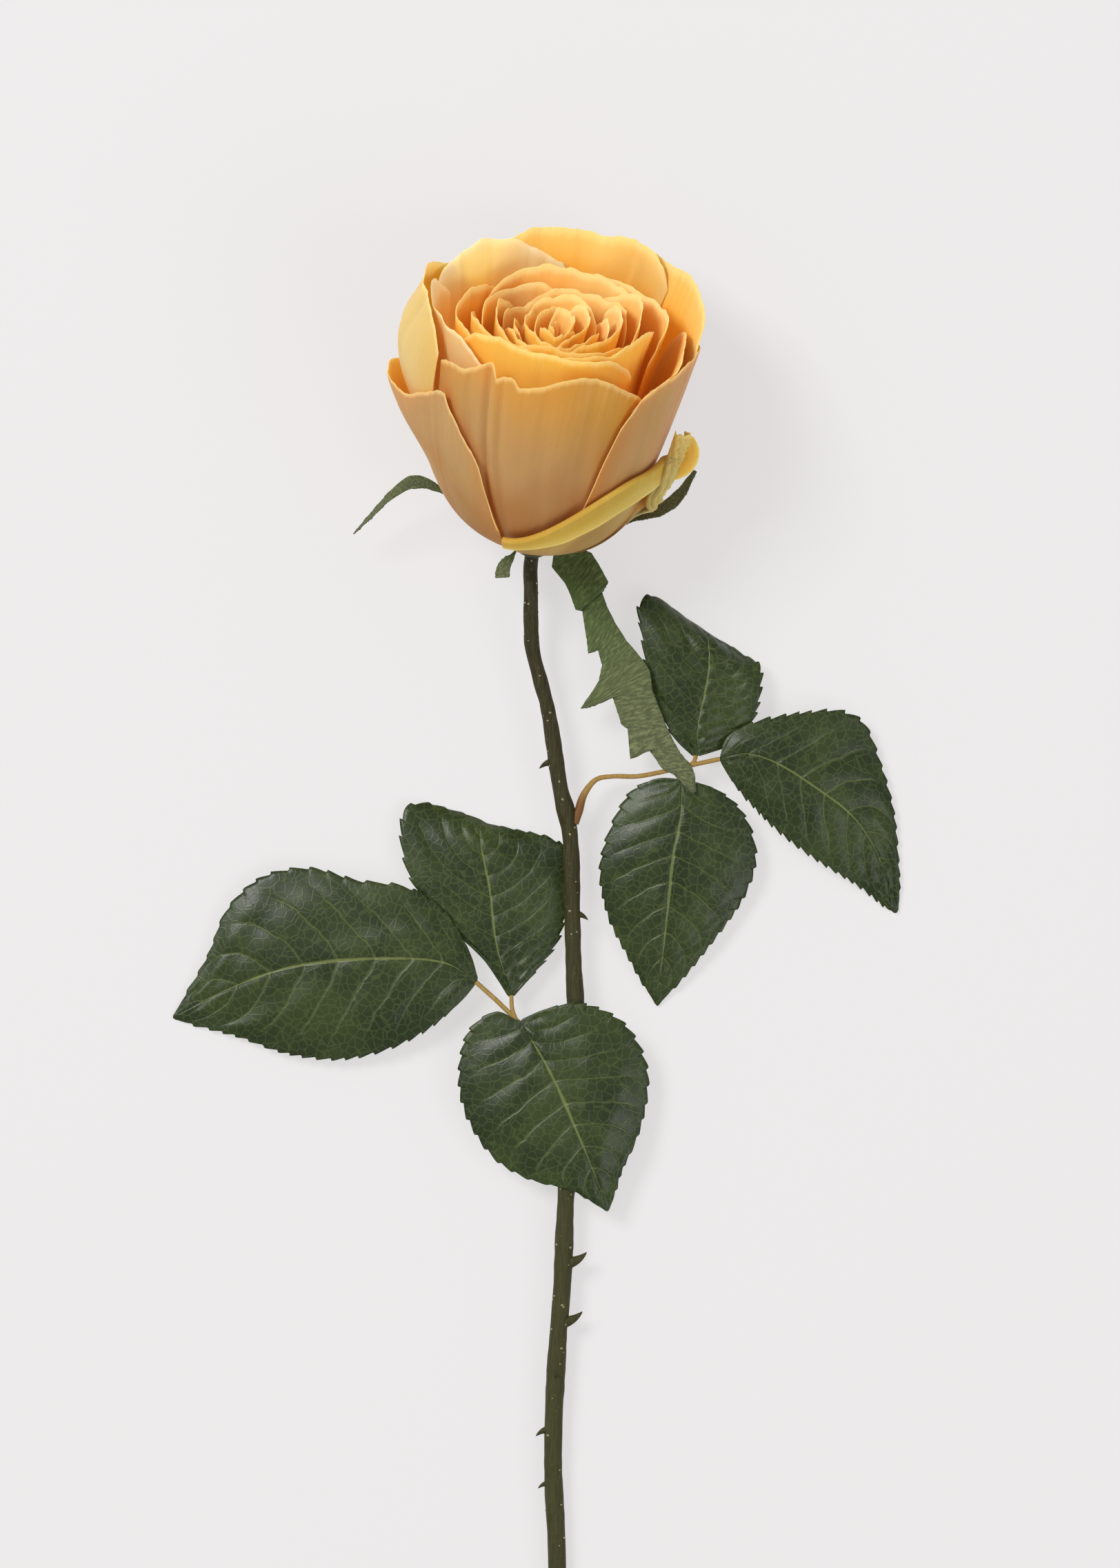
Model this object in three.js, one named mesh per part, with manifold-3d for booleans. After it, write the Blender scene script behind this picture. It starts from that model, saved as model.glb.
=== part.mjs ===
// A cut rose lying on its side: a stem with prickles, two leaves of three leaflets, and an open bloom
// whose head is raised off the surface. Millimetres, +Z up, the stem runs along Y, the bloom at +Y.
import * as THREE from "three";
import { mergeVertices } from "three/addons/utils/BufferGeometryUtils.js";
import Module from "manifold-3d";

const wasm = await Module();
wasm.setup();

// ---- Driving sizes ----

// The bloom: the outermost petals lie on a cup, and every petal further in lies on a smaller cup.
const CUP_BASE_RADIUS = 5; // where the outermost petals leave the receptacle
const CUP_RIM_RADIUS = 39.5;
const CUP_HEIGHT = 85; // the cup is taller than any petal, which stops at its own rim height
const CUP_ROUNDNESS = 2.6; // how fast the cup reaches its rim radius
const CUP_SWAY = 1.6; // how far the cup leans to the left half way up
const RECEPTACLE_LIFT = 11; // the innermost petal starts this far above the outermost
const HEAD_TILT = 30; // degrees from the surface up to the bloom's axis
const HEAD_LEAN = 7; // degrees from +Y towards +X
const PETAL_THICKNESS = 0.3;
const PETAL_FOOT = 20; // half the angle that a petal spans where it starts
const INNER_PETALS = 24;
const INNER_SCALE = 0.77; // the outermost inner petal's cup, as a share of the whole cup
const HEART_SCALE = 0.06; // the innermost petal's cup

const SEPAL_THICKNESS = 0.5;
const LEAF_THICKNESS = 0.45;
const STALK_RADIUS = 0.65;

const STEM_TOP_RADIUS = 1.8;
const STEM_END_RADIUS = 2.5;
const NODE_BULGE = 0.45; // the stem swells by this much where the upper leaf joins it
const CUT_LENGTH = 316; // from the bloom's base down to the cut end, along -Y
const CUT_SLANT = 5; // the cut face's far edge, further down the stem than its near edge

const CALYX_RADIUS = 5.9;
const CALYX_DEPTH = 6;
const GAP = 0.35; // clearance between pieces that meet

// ---- Materials ----

function finish(color, roughness) {
  return new THREE.MeshStandardMaterial({ color, roughness, metalness: 0, side: THREE.DoubleSide });
}

const COLORS = {
  guard: "#d9a867",
  gold: "#f3ae4c",
  leaf: "#3b5230",
  sepal: "#5c7a3f",
  stem: "#575b32",
  stalk: "#a98645",
  calyx: "#3a4a28",
};

// ---- Small maths ----

const radians = THREE.MathUtils.degToRad;
const smooth = THREE.MathUtils.smoothstep;
const mix = THREE.MathUtils.lerp;

function curveThrough(points) {
  return new THREE.CatmullRomCurve3(points.map((p) => new THREE.Vector3(...p)), false, "centripetal");
}

// ---- Solids from points ----

function closedGeometry(positions, indices) {
  const geometry = new THREE.BufferGeometry();
  geometry.setAttribute("position", new THREE.Float32BufferAttribute(positions, 3));
  geometry.setIndex(indices);
  geometry.computeVertexNormals();
  return geometry;
}

// A thin sheet: pointAt(u, v) gives its middle surface for u in -1..1 and v in 0..1. The two faces are
// half the thickness off the middle surface, and a strip closes them along the border.
function sheet(pointAt, across, along, thickness) {
  const middle = [];
  for (let i = 0; i <= across; i++) {
    middle.push([]);
    for (let j = 0; j <= along; j++) {
      middle[i].push(pointAt((2 * i) / across - 1, j / along));
    }
  }

  const rows = along + 1;
  const count = (across + 1) * rows;
  const front = [];
  const back = [];
  for (let i = 0; i <= across; i++) {
    for (let j = 0; j <= along; j++) {
      const alongU = middle[Math.min(i + 1, across)][j].clone().sub(middle[Math.max(i - 1, 0)][j]);
      const alongV = middle[i][Math.min(j + 1, along)].clone().sub(middle[i][Math.max(j - 1, 0)]);
      const offset = alongU.cross(alongV).setLength(thickness / 2);
      front.push(...middle[i][j].clone().add(offset).toArray());
      back.push(...middle[i][j].clone().sub(offset).toArray());
    }
  }

  const indices = [];
  const vertex = (i, j) => i * rows + j;
  for (let i = 0; i < across; i++) {
    for (let j = 0; j < along; j++) {
      const a = vertex(i, j);
      const b = vertex(i + 1, j);
      const c = vertex(i + 1, j + 1);
      const d = vertex(i, j + 1);
      indices.push(a, b, c, a, c, d);
      indices.push(count + a, count + c, count + b, count + a, count + d, count + c);
    }
  }

  const border = [];
  for (let i = 0; i < across; i++) border.push(vertex(i, 0));
  for (let j = 0; j < along; j++) border.push(vertex(across, j));
  for (let i = across; i > 0; i--) border.push(vertex(i, along));
  for (let j = along; j > 0; j--) border.push(vertex(0, j));
  border.forEach((p, k) => {
    const q = border[(k + 1) % border.length];
    indices.push(q, p, count + p, q, count + p, count + q);
  });
  return closedGeometry([...front, ...back], indices);
}

// A round bar along a curve, its radius given by radiusAt(share of the length), closed at both ends.
function bar(curve, radiusAt, rings, sides) {
  const frames = curve.computeFrenetFrames(rings, false);
  const positions = [];
  for (let i = 0; i <= rings; i++) {
    const centre = curve.getPointAt(i / rings);
    const radius = radiusAt(i / rings);
    for (let j = 0; j < sides; j++) {
      const angle = (2 * Math.PI * j) / sides;
      const point = centre.clone();
      point.addScaledVector(frames.normals[i], radius * Math.cos(angle));
      point.addScaledVector(frames.binormals[i], radius * Math.sin(angle));
      positions.push(...point.toArray());
    }
  }

  const indices = [];
  for (let i = 0; i < rings; i++) {
    for (let j = 0; j < sides; j++) {
      const a = i * sides + j;
      const b = i * sides + ((j + 1) % sides);
      indices.push(a, b, b + sides, a, b + sides, a + sides);
    }
  }
  const start = positions.length / 3;
  positions.push(...curve.getPointAt(0).toArray(), ...curve.getPointAt(1).toArray());
  for (let j = 0; j < sides; j++) {
    const next = (j + 1) % sides;
    indices.push(start, next, j);
    indices.push(start + 1, rings * sides + j, rings * sides + next);
  }
  return closedGeometry(positions, indices);
}

function solidOf(geometry) {
  const bare = geometry.clone();
  bare.deleteAttribute("normal");
  bare.deleteAttribute("uv");
  const merged = mergeVertices(bare, 1e-4);
  return new wasm.Manifold(
    new wasm.Mesh({
      numProp: 3,
      vertProperties: merged.attributes.position.array,
      triVerts: new Uint32Array(merged.index.array),
    }),
  );
}

function joined(geometries) {
  const mesh = geometries
    .map(solidOf)
    .reduce((whole, part) => whole.add(part))
    .getMesh();
  return closedGeometry(Array.from(mesh.vertProperties), Array.from(mesh.triVerts));
}

const rose = new THREE.Group();

function place(parent, name, geometry, material) {
  const mesh = new THREE.Mesh(geometry, material);
  mesh.name = name;
  parent.add(mesh);
  return mesh;
}

// ---- Bloom ----
// In the bloom's own frame +X is the right side, +Y the side that faces the surface and +Z the axis.

const bloom = new THREE.Group();
rose.add(bloom);

const lean = radians(HEAD_LEAN);
const tilt = radians(HEAD_TILT);
const sideways = new THREE.Vector3(Math.cos(lean), -Math.sin(lean), 0);
const axis = new THREE.Vector3(
  Math.sin(lean) * Math.cos(tilt),
  Math.cos(lean) * Math.cos(tilt),
  Math.sin(tilt),
);
const downwards = axis.clone().cross(sideways);
bloom.quaternion.setFromRotationMatrix(new THREE.Matrix4().makeBasis(sideways, downwards, axis));

// How far up the cup a height lies, as the share that cupPoint takes.
function cupShare(height, scale) {
  const foot = RECEPTACLE_LIFT * (1 - scale);
  return Math.pow((height - foot) / (CUP_HEIGHT - foot), 1 / 1.7);
}

// Radius and height on the cup of a given scale, for a share of 0 at its foot and 1 at the full height.
function cupPoint(share, scale) {
  const rise = (1 - Math.exp(-CUP_ROUNDNESS * share)) / (1 - Math.exp(-CUP_ROUNDNESS));
  const foot = RECEPTACLE_LIFT * (1 - scale);
  return {
    radius: scale * (CUP_BASE_RADIUS + (CUP_RIM_RADIUS - CUP_BASE_RADIUS) * rise),
    height: foot + (CUP_HEIGHT - foot) * Math.pow(share, 1.7),
  };
}

// A gentle waviness that all petals share, so that neighbours keep their distance. The inner cups
// are folded more deeply than the outer ones.
function waviness(angle, share, scale) {
  const broad = 0.02 * Math.sin(3 * angle + 1.1 + 5 * scale);
  const folds = mix(0.04, 0.014, smooth(scale, 0.7, 0.85)) * Math.sin(4 * angle + 9 * scale);
  return 1 + (broad + folds) * smooth(share, 0.25, 1);
}

// The middle of the cups sways to the left half way up and back again at the rim.
function sway(height) {
  return -CUP_SWAY * Math.sin(Math.PI * Math.min(Math.max(height / (0.8 * CUP_HEIGHT), 0), 1));
}

// A number, or a line through [u, value] pairs.
function lineThrough(table, u) {
  if (typeof table === "number") return table;
  const next = Math.max(table.findIndex(([place]) => place >= u), 1);
  const [before, after] = [table[next - 1], table[next]];
  return mix(before[1], after[1], (u - before[0]) / (after[0] - before[0]));
}

// One petal. azimuth and halfWidth are in degrees; azimuth 0 is the right side, -90 the upper side.
// rim is the height of its rim and drop lowers the rim's corners; flare pushes the petal outwards,
// between flareFrom and flareTo; tuck draws its top inwards again.
function petalPoint(petal, u, v) {
  const top = cupShare(lineThrough(petal.rim, u), petal.scale) * (1 - petal.drop * Math.pow(Math.abs(u), 4));
  const share = v * top;
  const spread = mix(PETAL_FOOT, petal.halfWidth, smooth(v, 0, 0.6));
  const angle = radians(petal.azimuth + u * spread);
  const { radius, height } = cupPoint(share, petal.scale);
  const flare = lineThrough(petal.flare, u) * smooth(v, petal.flareFrom, petal.flareTo);
  const tuck = lineThrough(petal.tuck, u) * smooth(v, 0.88, 1);
  const r = radius * waviness(angle, share, petal.scale) + flare - tuck;
  return new THREE.Vector3(r * Math.cos(angle) + sway(height), r * Math.sin(angle), height);
}

function petalSheet(petal, across, along) {
  return sheet((u, v) => petalPoint(petal, u, v), across, along, PETAL_THICKNESS);
}

// The guard petals, from the outside in.
const plain = { drop: 0.16, flare: 0, flareFrom: 0.62, flareTo: 1, tuck: 0 };
const GUARD_PETALS = {
  petal_front_left: {
    azimuth: -151,
    halfWidth: 42,
    scale: 0.985,
    drop: 0,
    rim: [
      [-1, 44], [-0.75, 48.5], [-0.57, 47.5], [-0.25, 46], [0.1, 51.8], [0.25, 53.8], [0.4, 49], [0.56, 44],
      [0.82, 35], [1, 16],
    ],
    flare: [[-1, 4], [-0.75, 6.4], [-0.57, 7.8], [-0.25, 3.8], [0, 1.2], [0.26, 0.2], [1, 0]],
  },
  petal_right: {
    azimuth: -15,
    halfWidth: 50,
    scale: 0.985,
    drop: 0,
    rim: [[-1, 20], [-0.89, 40.3], [-0.79, 52.9], [-0.6, 62], [-0.2, 66], [0.05, 67], [0.6, 60], [1, 40]],
    flare: [[-1, 0], [-0.7, 0.2], [0, 1], [1, 1]],
  },
  petal_back_right: {
    azimuth: 34,
    halfWidth: 46,
    scale: 0.94,
    drop: 0.05,
    rim: [[-1, 62], [-0.7, 71], [-0.2, 76], [0.24, 74.4], [0.6, 76], [1, 70]],
    flare: 1.4,
    flareFrom: 0.88,
  },
  petal_front: {
    azimuth: -97,
    halfWidth: 53,
    scale: 0.945,
    drop: 0,
    rim: [
      [-1, 60.6], [-0.66, 63.2], [-0.42, 68.8], [-0.33, 65.6], [-0.2, 67.2], [-0.12, 65.2], [0.08, 66.4],
      [0.24, 69.9], [0.5, 69.8], [0.63, 67.4], [1, 59.5],
    ],
  },
  petal_left: {
    azimuth: 172,
    halfWidth: 38,
    scale: 0.925,
    drop: 0.02,
    rim: [[-1, 64], [-0.6, 70], [0.15, 75], [0.5, 72], [1, 65]],
    flare: [[-1, 7], [0.3, 8.6], [0.6, 5], [1, 2.8]],
    flareFrom: 0.58,
    flareTo: 0.92,
    tuck: [[-1, 4.6], [0.4, 4.6], [0.8, 1], [1, 0]],
  },
  petal_back: {
    azimuth: 85,
    halfWidth: 45,
    scale: 0.91,
    drop: 0.02,
    rim: [[-1, 71], [-0.78, 78], [-0.19, 76.7], [0.05, 77.4], [0.67, 74.8], [1, 68]],
  },
  petal_back_left: {
    azimuth: 128,
    halfWidth: 48,
    scale: 0.87,
    drop: 0,
    rim: [[-1, 60], [-0.83, 66], [-0.29, 74.2], [0.14, 76.6], [0.49, 73], [1, 64]],
  },
  petal_inner_right: { azimuth: -12, halfWidth: 42, rim: 67, scale: 0.865, flare: 1 },
  petal_inner_left: {
    azimuth: -158,
    halfWidth: 44,
    scale: 0.845,
    drop: 0.04,
    rim: [[-1, 70], [-0.7, 74.6], [-0.1, 71.2], [0.3, 70], [1, 61]],
  },
};

// The outermost petal is short and bent over: its rim is folded outwards and down into a band, and its
// right side is rolled up into a scroll.
const LOW_LEFT = -106; // degrees, the petal's left side
const LOW_ROLL = -14; // degrees, where the scroll begins
const LOW_LEFT_HEIGHT = 12; // the fold line climbs from here on the left ...
const LOW_RIGHT_HEIGHT = 33; // ... to here on the right
const LOW_BAND = 9.5; // length of the folded band, and of the scroll above the fold line
const FOLD_RADIUS = 0.9;
const SCROLL_RADIUS = 2.5;
const SCROLL_TURN = 330; // degrees
const SCROLL_SHARE = 0.4; // of the petal's width

function lowPetalPoint(u, v) {
  const width = (u + 1) / 2;
  const onCup = Math.min(width / (1 - SCROLL_SHARE), 1);
  const rolled = Math.max(width - (1 - SCROLL_SHARE), 0) / SCROLL_SHARE;

  // Up the cup to the fold line, round the fold, and down the band: each takes its share of v.
  const climb = Math.min(v / 0.5, 1);
  const bend = THREE.MathUtils.clamp((v - 0.5) / 0.25, 0, 1);
  const hang = Math.max(v - 0.75, 0) / 0.25;
  const foldShare = cupShare(mix(LOW_LEFT_HEIGHT, LOW_RIGHT_HEIGHT, smooth(onCup, 0, 0.75)), 1);
  const { radius, height } = cupPoint(foldShare * climb, 1);
  const before = cupPoint(foldShare * 0.96, 1);
  const at = cupPoint(foldShare, 1);
  const slope = Math.atan2(at.height - before.height, at.radius - before.radius);
  const open = smooth(rolled, 0, 0.3); // the fold opens where the scroll begins
  const turn = mix(radians(172), radians(4), open);
  const fold = (FOLD_RADIUS * radians(172)) / turn;
  const heading = slope - bend * turn;
  const band = (LOW_BAND - FOLD_RADIUS * radians(172)) * mix(0.35, 1, smooth(onCup, 0, 0.5)) * hang;
  const upright = heading + radians(8) * open; // the scroll stands along the bloom's axis
  const clear = 1.4 * GAP + 1.3 * open * climb;
  const r = radius + clear + fold * (Math.sin(slope) - Math.sin(heading)) + band * Math.cos(upright);
  const h = height + fold * (Math.cos(heading) - Math.cos(slope)) + band * Math.sin(upright);

  // The right side leaves the cup and rolls outwards, about a line that runs up beside the cup.
  const foot = mix(LOW_LEFT + 14, LOW_ROLL - 34, onCup);
  const angle = radians(mix(foot, mix(LOW_LEFT, LOW_ROLL, onCup), smooth(v, 0.05, 0.45)));
  const roll = radians(SCROLL_TURN) * rolled * smooth(v, 0.28, 0.44);
  const coil = SCROLL_RADIUS * mix(1, 0.7, rolled);
  const outwards = r + coil * (1 - Math.cos(roll));
  const sideways = coil * Math.sin(roll);
  return new THREE.Vector3(
    outwards * Math.cos(angle) - sideways * Math.sin(angle) + sway(h),
    outwards * Math.sin(angle) + sideways * Math.cos(angle),
    h,
  );
}

const guardMaterial = finish(COLORS.guard, 0.75);
place(bloom, "petal_low", sheet(lowPetalPoint, 26, 16, PETAL_THICKNESS), guardMaterial);
for (const [name, sizes] of Object.entries(GUARD_PETALS)) {
  place(bloom, name, petalSheet({ ...plain, ...sizes }, 20, 10), finish(COLORS.guard, 0.75));
}

// The inner petals turn from one to the next by the golden angle, each on a smaller cup. Their rims are
// highest on the upper side and fall towards the surface side; the heart stands up in the middle.
const GOLDEN_ANGLE = 137.508;
for (let k = 0; k < INNER_PETALS; k++) {
  const inwards = k / (INNER_PETALS - 1);
  const scale = mix(INNER_SCALE, HEART_SCALE, inwards);
  const azimuth = -100 + GOLDEN_ANGLE * k;
  const ring = Math.max((scale - 0.35) / 0.42, 0);
  const heart = Math.min(scale / 0.35, 1);
  const rim = 68 - 2 * heart + 3.4 * ring * (1 - 1.05 * Math.sin(radians(azimuth)));
  const petal = {
    ...plain,
    azimuth,
    halfWidth: mix(58, 105, Math.pow(inwards, 1.6)),
    rim: rim + 0.6 * Math.sin(2.4 * k),
    scale,
    drop: 0.07,
  };
  const name = "inner_petal_" + String(k + 1).padStart(2, "0");
  place(bloom, name, petalSheet(petal, 7, 4), finish(COLORS.gold, 0.75));
}

// The receptacle: the calyx cup under the petals, with a cone that the petals stand around.
const cone = RECEPTACLE_LIFT - 3 * GAP;
const receptacle = new THREE.LatheGeometry(
  [
    [0, -CALYX_DEPTH],
    [STEM_TOP_RADIUS + 0.8, -CALYX_DEPTH],
    [0.88 * CALYX_RADIUS, -0.66 * CALYX_DEPTH],
    [CALYX_RADIUS, -0.37 * CALYX_DEPTH],
    [0.83 * CALYX_RADIUS, -0.15 * CALYX_DEPTH],
    [CUP_BASE_RADIUS - 3 * GAP, -GAP],
    [0, cone - GAP],
  ].map((p) => new THREE.Vector2(...p)),
  24,
);
receptacle.rotateX(Math.PI / 2);
place(bloom, "receptacle", receptacle, finish(COLORS.calyx, 0.8));

// The bloom's back rests on the surface, which fixes the height of the bloom's base.
rose.updateMatrixWorld(true);
const BASE_HEIGHT = -new THREE.Box3().setFromObject(bloom, true).min.z;
bloom.position.z = BASE_HEIGHT;

// From here on, x and y are measured from the bloom's base and z from the surface.

// ---- Stem ----

const BARE_STEM_TOP = -184; // y below the lower leaf, where the bare lower stem begins
const CUT_END = 0.5 * CUT_SLANT - CUT_LENGTH; // y of the cut end's centre

// The y at a share of the bare lower stem, from its top down to the cut end.
function bareStemY(share) {
  return mix(BARE_STEM_TOP, CUT_END, share);
}

// Centre line from the calyx to the cut end: [x, y, z].
const neck = axis.clone().multiplyScalar(-CALYX_DEPTH - GAP);
const STEM_PATH = [
  [neck.x, neck.y, BASE_HEIGHT + neck.z],
  [1.78 * neck.x, 1.78 * neck.y, BASE_HEIGHT + 1.78 * neck.z],
  [-1, -15, 10.6],
  [-1, -23.8, 9.4],
  [-0.6, -31.4, 8.9],
  [1.5, -39.9, 8.5],
  [3.8, -48.5, 8.2],
  [5.3, -58, 8],
  [7, -69.4, 7.8],
  [8.8, -77, 7.6],
  [9.9, -84, 7.4],
  [10.3, -99.8, 7],
  [10.8, -118.8, 6.6],
  [11.4, -132, 6.3],
  [10.5, -156.8, 5.8],
  [8.6, BARE_STEM_TOP, 5.2],
  [7.8, bareStemY(0.1567568), 4.8],
  [5.9, bareStemY(0.3621622), 4.2],
  [5.1, bareStemY(0.5528958), 3.6],
  [6.1, bareStemY(0.7335907), 3.1],
  [6.6, CUT_END, STEM_END_RADIUS],
];
const stemCurve = curveThrough(STEM_PATH);
stemCurve.arcLengthDivisions = 400;

function stemRadius(share) {
  const taper = mix(STEM_TOP_RADIUS, STEM_END_RADIUS, Math.pow(smooth(share, -0.3, 0.75), 1));
  const bulge = NODE_BULGE * Math.exp(-Math.pow((share - 0.235) / 0.014, 2));
  return taper + bulge;
}

// The share of the stem's length at which it passes a given y.
function stemShareAt(y) {
  let low = 0;
  let high = 1;
  for (let step = 0; step < 30; step++) {
    const middle = (low + high) / 2;
    if (stemCurve.getPointAt(middle).y > y) low = middle;
    else high = middle;
  }
  return low;
}

// The cut face is slanted: the last ring is sheared along the stem.
function slantedStem() {
  const rings = 46;
  const sides = 12;
  const geometry = bar(stemCurve, stemRadius, rings, sides);
  const positions = geometry.getAttribute("position");
  const end = STEM_PATH[STEM_PATH.length - 1];
  for (let i = rings * sides; i < (rings + 1) * sides; i++) {
    const shift = ((positions.getX(i) - end[0]) / STEM_END_RADIUS) * 0.5 * CUT_SLANT;
    positions.setY(i, positions.getY(i) - shift);
  }
  return geometry;
}

// Prickles: the stem's y at the foot, the side they point to (degrees around the stem, 0 right, 90 up),
// how far they stand out and how far their tip hooks along +Y.
const PRICKLES = [
  { y: -62.5, around: 178, reach: 2.6, hook: -1.2 },
  { y: -104.5, around: 8, reach: 2.4, hook: -1.0 },
  { y: -147, around: 60, reach: 2.2, hook: -1.0 },
  { y: bareStemY(0.1312741), around: 12, reach: 3.4, hook: 3.2 },
  { y: bareStemY(0.2548263), around: 5, reach: 3.6, hook: 1.6 },
  { y: bareStemY(0.4864865), around: 175, reach: 2.4, hook: -1.2 },
  { y: bareStemY(0.6023166), around: 186, reach: 1.8, hook: -0.8 },
  { y: bareStemY(0.8339768), around: 30, reach: 3, hook: 1.4 },
];

function prickle({ y, around, reach, hook }) {
  const share = stemShareAt(y);
  const centre = stemCurve.getPointAt(share);
  const radius = stemRadius(share);
  const out = new THREE.Vector3(Math.cos(radians(around)), 0, Math.sin(radians(around)));
  const foot = centre.clone().addScaledVector(out, 0.45 * radius);
  const neckPoint = centre.clone().addScaledVector(out, radius + 0.45 * reach);
  const tip = centre.clone().addScaledVector(out, radius + reach);
  neckPoint.y += 0.25 * hook;
  tip.y += hook;
  const curve = new THREE.QuadraticBezierCurve3(foot, neckPoint, tip);
  return bar(curve, (t) => mix(1.25, 0.12, Math.pow(t, 0.6)), 4, 6);
}

place(rose, "stem", joined([slantedStem(), ...PRICKLES.map(prickle)]), finish(COLORS.stem, 0.7));

// ---- Blades: leaflets and sepals ----

// A blade is given by three lines from its foot to its tip: the midrib and the two margins, each a list
// of [x, y, z]. Cross sections are parabolas through the three lines.
function bladePoint(blade) {
  const lines = [blade.left, blade.middle, blade.right].map(curveThrough);
  return (u, v) => {
    const [left, middle, right] = lines.map((line) => line.getPointAt(v));
    return new THREE.Vector3()
      .addScaledVector(left, (u * (u - 1)) / 2)
      .addScaledVector(middle, 1 - u * u)
      .addScaledVector(right, (u * (u + 1)) / 2);
  };
}

const LEAFLETS = {
  upper_leaflet_top: {
    left: [
      [43.6, -61, 7.3], [39.5, -57, 7.5], [35, -49, 7.6], [31.4, -38, 7.4], [30, -28, 6.8],
      [29, -20.5, 5.4], [31.8, -17.4, 4], [38, -20.4, 2], [45.6, -25.4, 0.6],
    ],
    middle: [
      [44.6, -60.8, 7.3], [45.3, -51.6, 7.8], [46.8, -44.6, 7.9], [48.1, -37, 7.6], [48, -30.5, 6.2],
      [47.6, -27.6, 3.4], [46.6, -26.2, 0.5],
    ],
    right: [
      [45.6, -61, 7], [51, -59.2, 6.5], [58.6, -53.5, 6], [61.7, -43.4, 6.2], [61.6, -36.2, 4.8],
      [57, -32.8, 2.6], [47.6, -26.9, 0.5],
    ],
  },
  upper_leaflet_end: {
    left: [
      [51.3, -60.8, 7.9], [53, -56, 7.9], [58, -53, 7.8], [65.5, -51, 7.2], [75, -49.6, 6],
      [84.6, -49.4, 4.9],
      [90.3, -52.3, 3.7], [95.6, -64, 2.7], [99, -77, 2], [100.4, -92, 1.3], [100.5, -103.4, 0.35],
    ],
    middle: [
      [51.3, -61.9, 7.9], [57.9, -60.4, 8.6], [65.5, -62.4, 8.7], [77, -69.4, 7.9], [88.4, -78.4, 5.4],
      [95.5, -90, 2.6], [100, -104.2, 0.4],
    ],
    right: [
      [51.5, -63, 7.8], [54.8, -68, 7.3], [60.5, -74.4, 6.8], [65.5, -79.5, 6.4], [77, -88.4, 5],
      [90.3, -96.9, 2.6], [99.3, -104.3, 0.35],
    ],
  },
  upper_leaflet_bottom: {
    left: [
      [39.6, -67.4, 7.2], [33.9, -67.4, 7], [27, -71, 6.6], [21.5, -80.7, 5.8], [18.6, -92, 5],
      [20.4, -104, 4.2],
      [26.5, -117, 3], [33.2, -129, 0.6],
    ],
    middle: [
      [40.6, -67.5, 7.3], [40.4, -77.6, 8.2], [38.4, -88, 8.4], [36.9, -102, 7], [35.4, -116, 4.4],
      [33.9, -130, 0.45],
    ],
    right: [
      [41.6, -67.5, 7.2], [50.3, -70.6, 7], [57.4, -77.5, 6.4], [60.6, -88, 5.6], [57.4, -100, 4.8],
      [48, -113, 3.6], [34.6, -129.2, 0.6],
    ],
  },
  lower_leaflet_left: {
    left: [
      [-16.6, -124.4, 6.7], [-20, -128.3, 6.5], [-29.5, -135.9, 6], [-40.9, -141.6, 5.2],
      [-54.2, -144.4, 4.3],
      [-69.4, -142.5, 3.2], [-82.7, -137.8, 1.9], [-99.2, -133.8, 0.35],
    ],
    middle: [
      [-16.2, -123.4, 6.8], [-24, -118.4, 7.8], [-40.9, -116.9, 8.3], [-67.5, -119.4, 6.4],
      [-85, -125.6, 3.2],
      [-99.8, -133.2, 0.4],
    ],
    right: [
      [-15.7, -122.4, 6.7], [-18.1, -115, 7], [-25.7, -103.6, 6.9], [-35.2, -97.9, 6.4], [-48.5, -96, 5.8],
      [-61.8, -92.5, 5], [-75.1, -95, 4.1], [-84.6, -103.6, 3.1], [-90.3, -116.9, 2.1], [-99.4, -132.4, 0.35],
    ],
  },
  lower_leaflet_top: {
    left: [
      [-7.2, -127.4, 5.6], [-14.3, -116.9, 5.4], [-25.7, -105.5, 4.8], [-33.3, -96, 4.2], [-36.5, -83.5, 3.4],
      [-35.2, -76, 2.6], [-30, -74.2, 1.6], [-15, -78.6, 0.5],
    ],
    middle: [
      [-6.4, -127.2, 5.6], [-10.5, -113.1, 5.6], [-12.4, -97.9, 5.2], [-15, -84, 4.2], [-15, -80.6, 2.4],
      [-14.2, -79.2, 0.5],
    ],
    right: [
      [-5.6, -127.2, 5.6], [0, -120.7, 4.8], [6.4, -111, 3.7], [8.8, -98, 3.2], [8.4, -87.4, 2.9],
      [4, -84, 2.2], [-13.2, -79.8, 0.5],
    ],
  },
  lower_leaflet_bottom: {
    left: [
      [-4.8, -134, 8.4], [-10.5, -131.7, 8.2], [-17.6, -137, 7.6], [-20.3, -149.2, 7], [-18.1, -160.6, 6.8],
      [-10.5, -172, 7.2], [-1, -177.7, 8], [10.5, -180.9, 8.6], [19.2, -186, 7],
    ],
    middle: [
      [-3.9, -134.2, 8.6], [4.8, -149.2, 10.6], [12.4, -166.3, 10.4], [18.1, -180.5, 8.4], [20, -186.6, 7],
    ],
    right: [
      [-3.2, -133.6, 8.5], [2.9, -131.1, 9.2], [12.4, -129.8, 9.7], [23.8, -134.9, 9], [30.4, -146, 8],
      [30.8, -156, 7.6], [28, -166, 7.6], [23.8, -175.4, 7.6], [20.7, -186, 7],
    ],
  },
};

for (const [name, blade] of Object.entries(LEAFLETS)) {
  place(rose, name, sheet(bladePoint(blade), 6, 12, LEAF_THICKNESS), finish(COLORS.leaf, 0.65));
}

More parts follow.
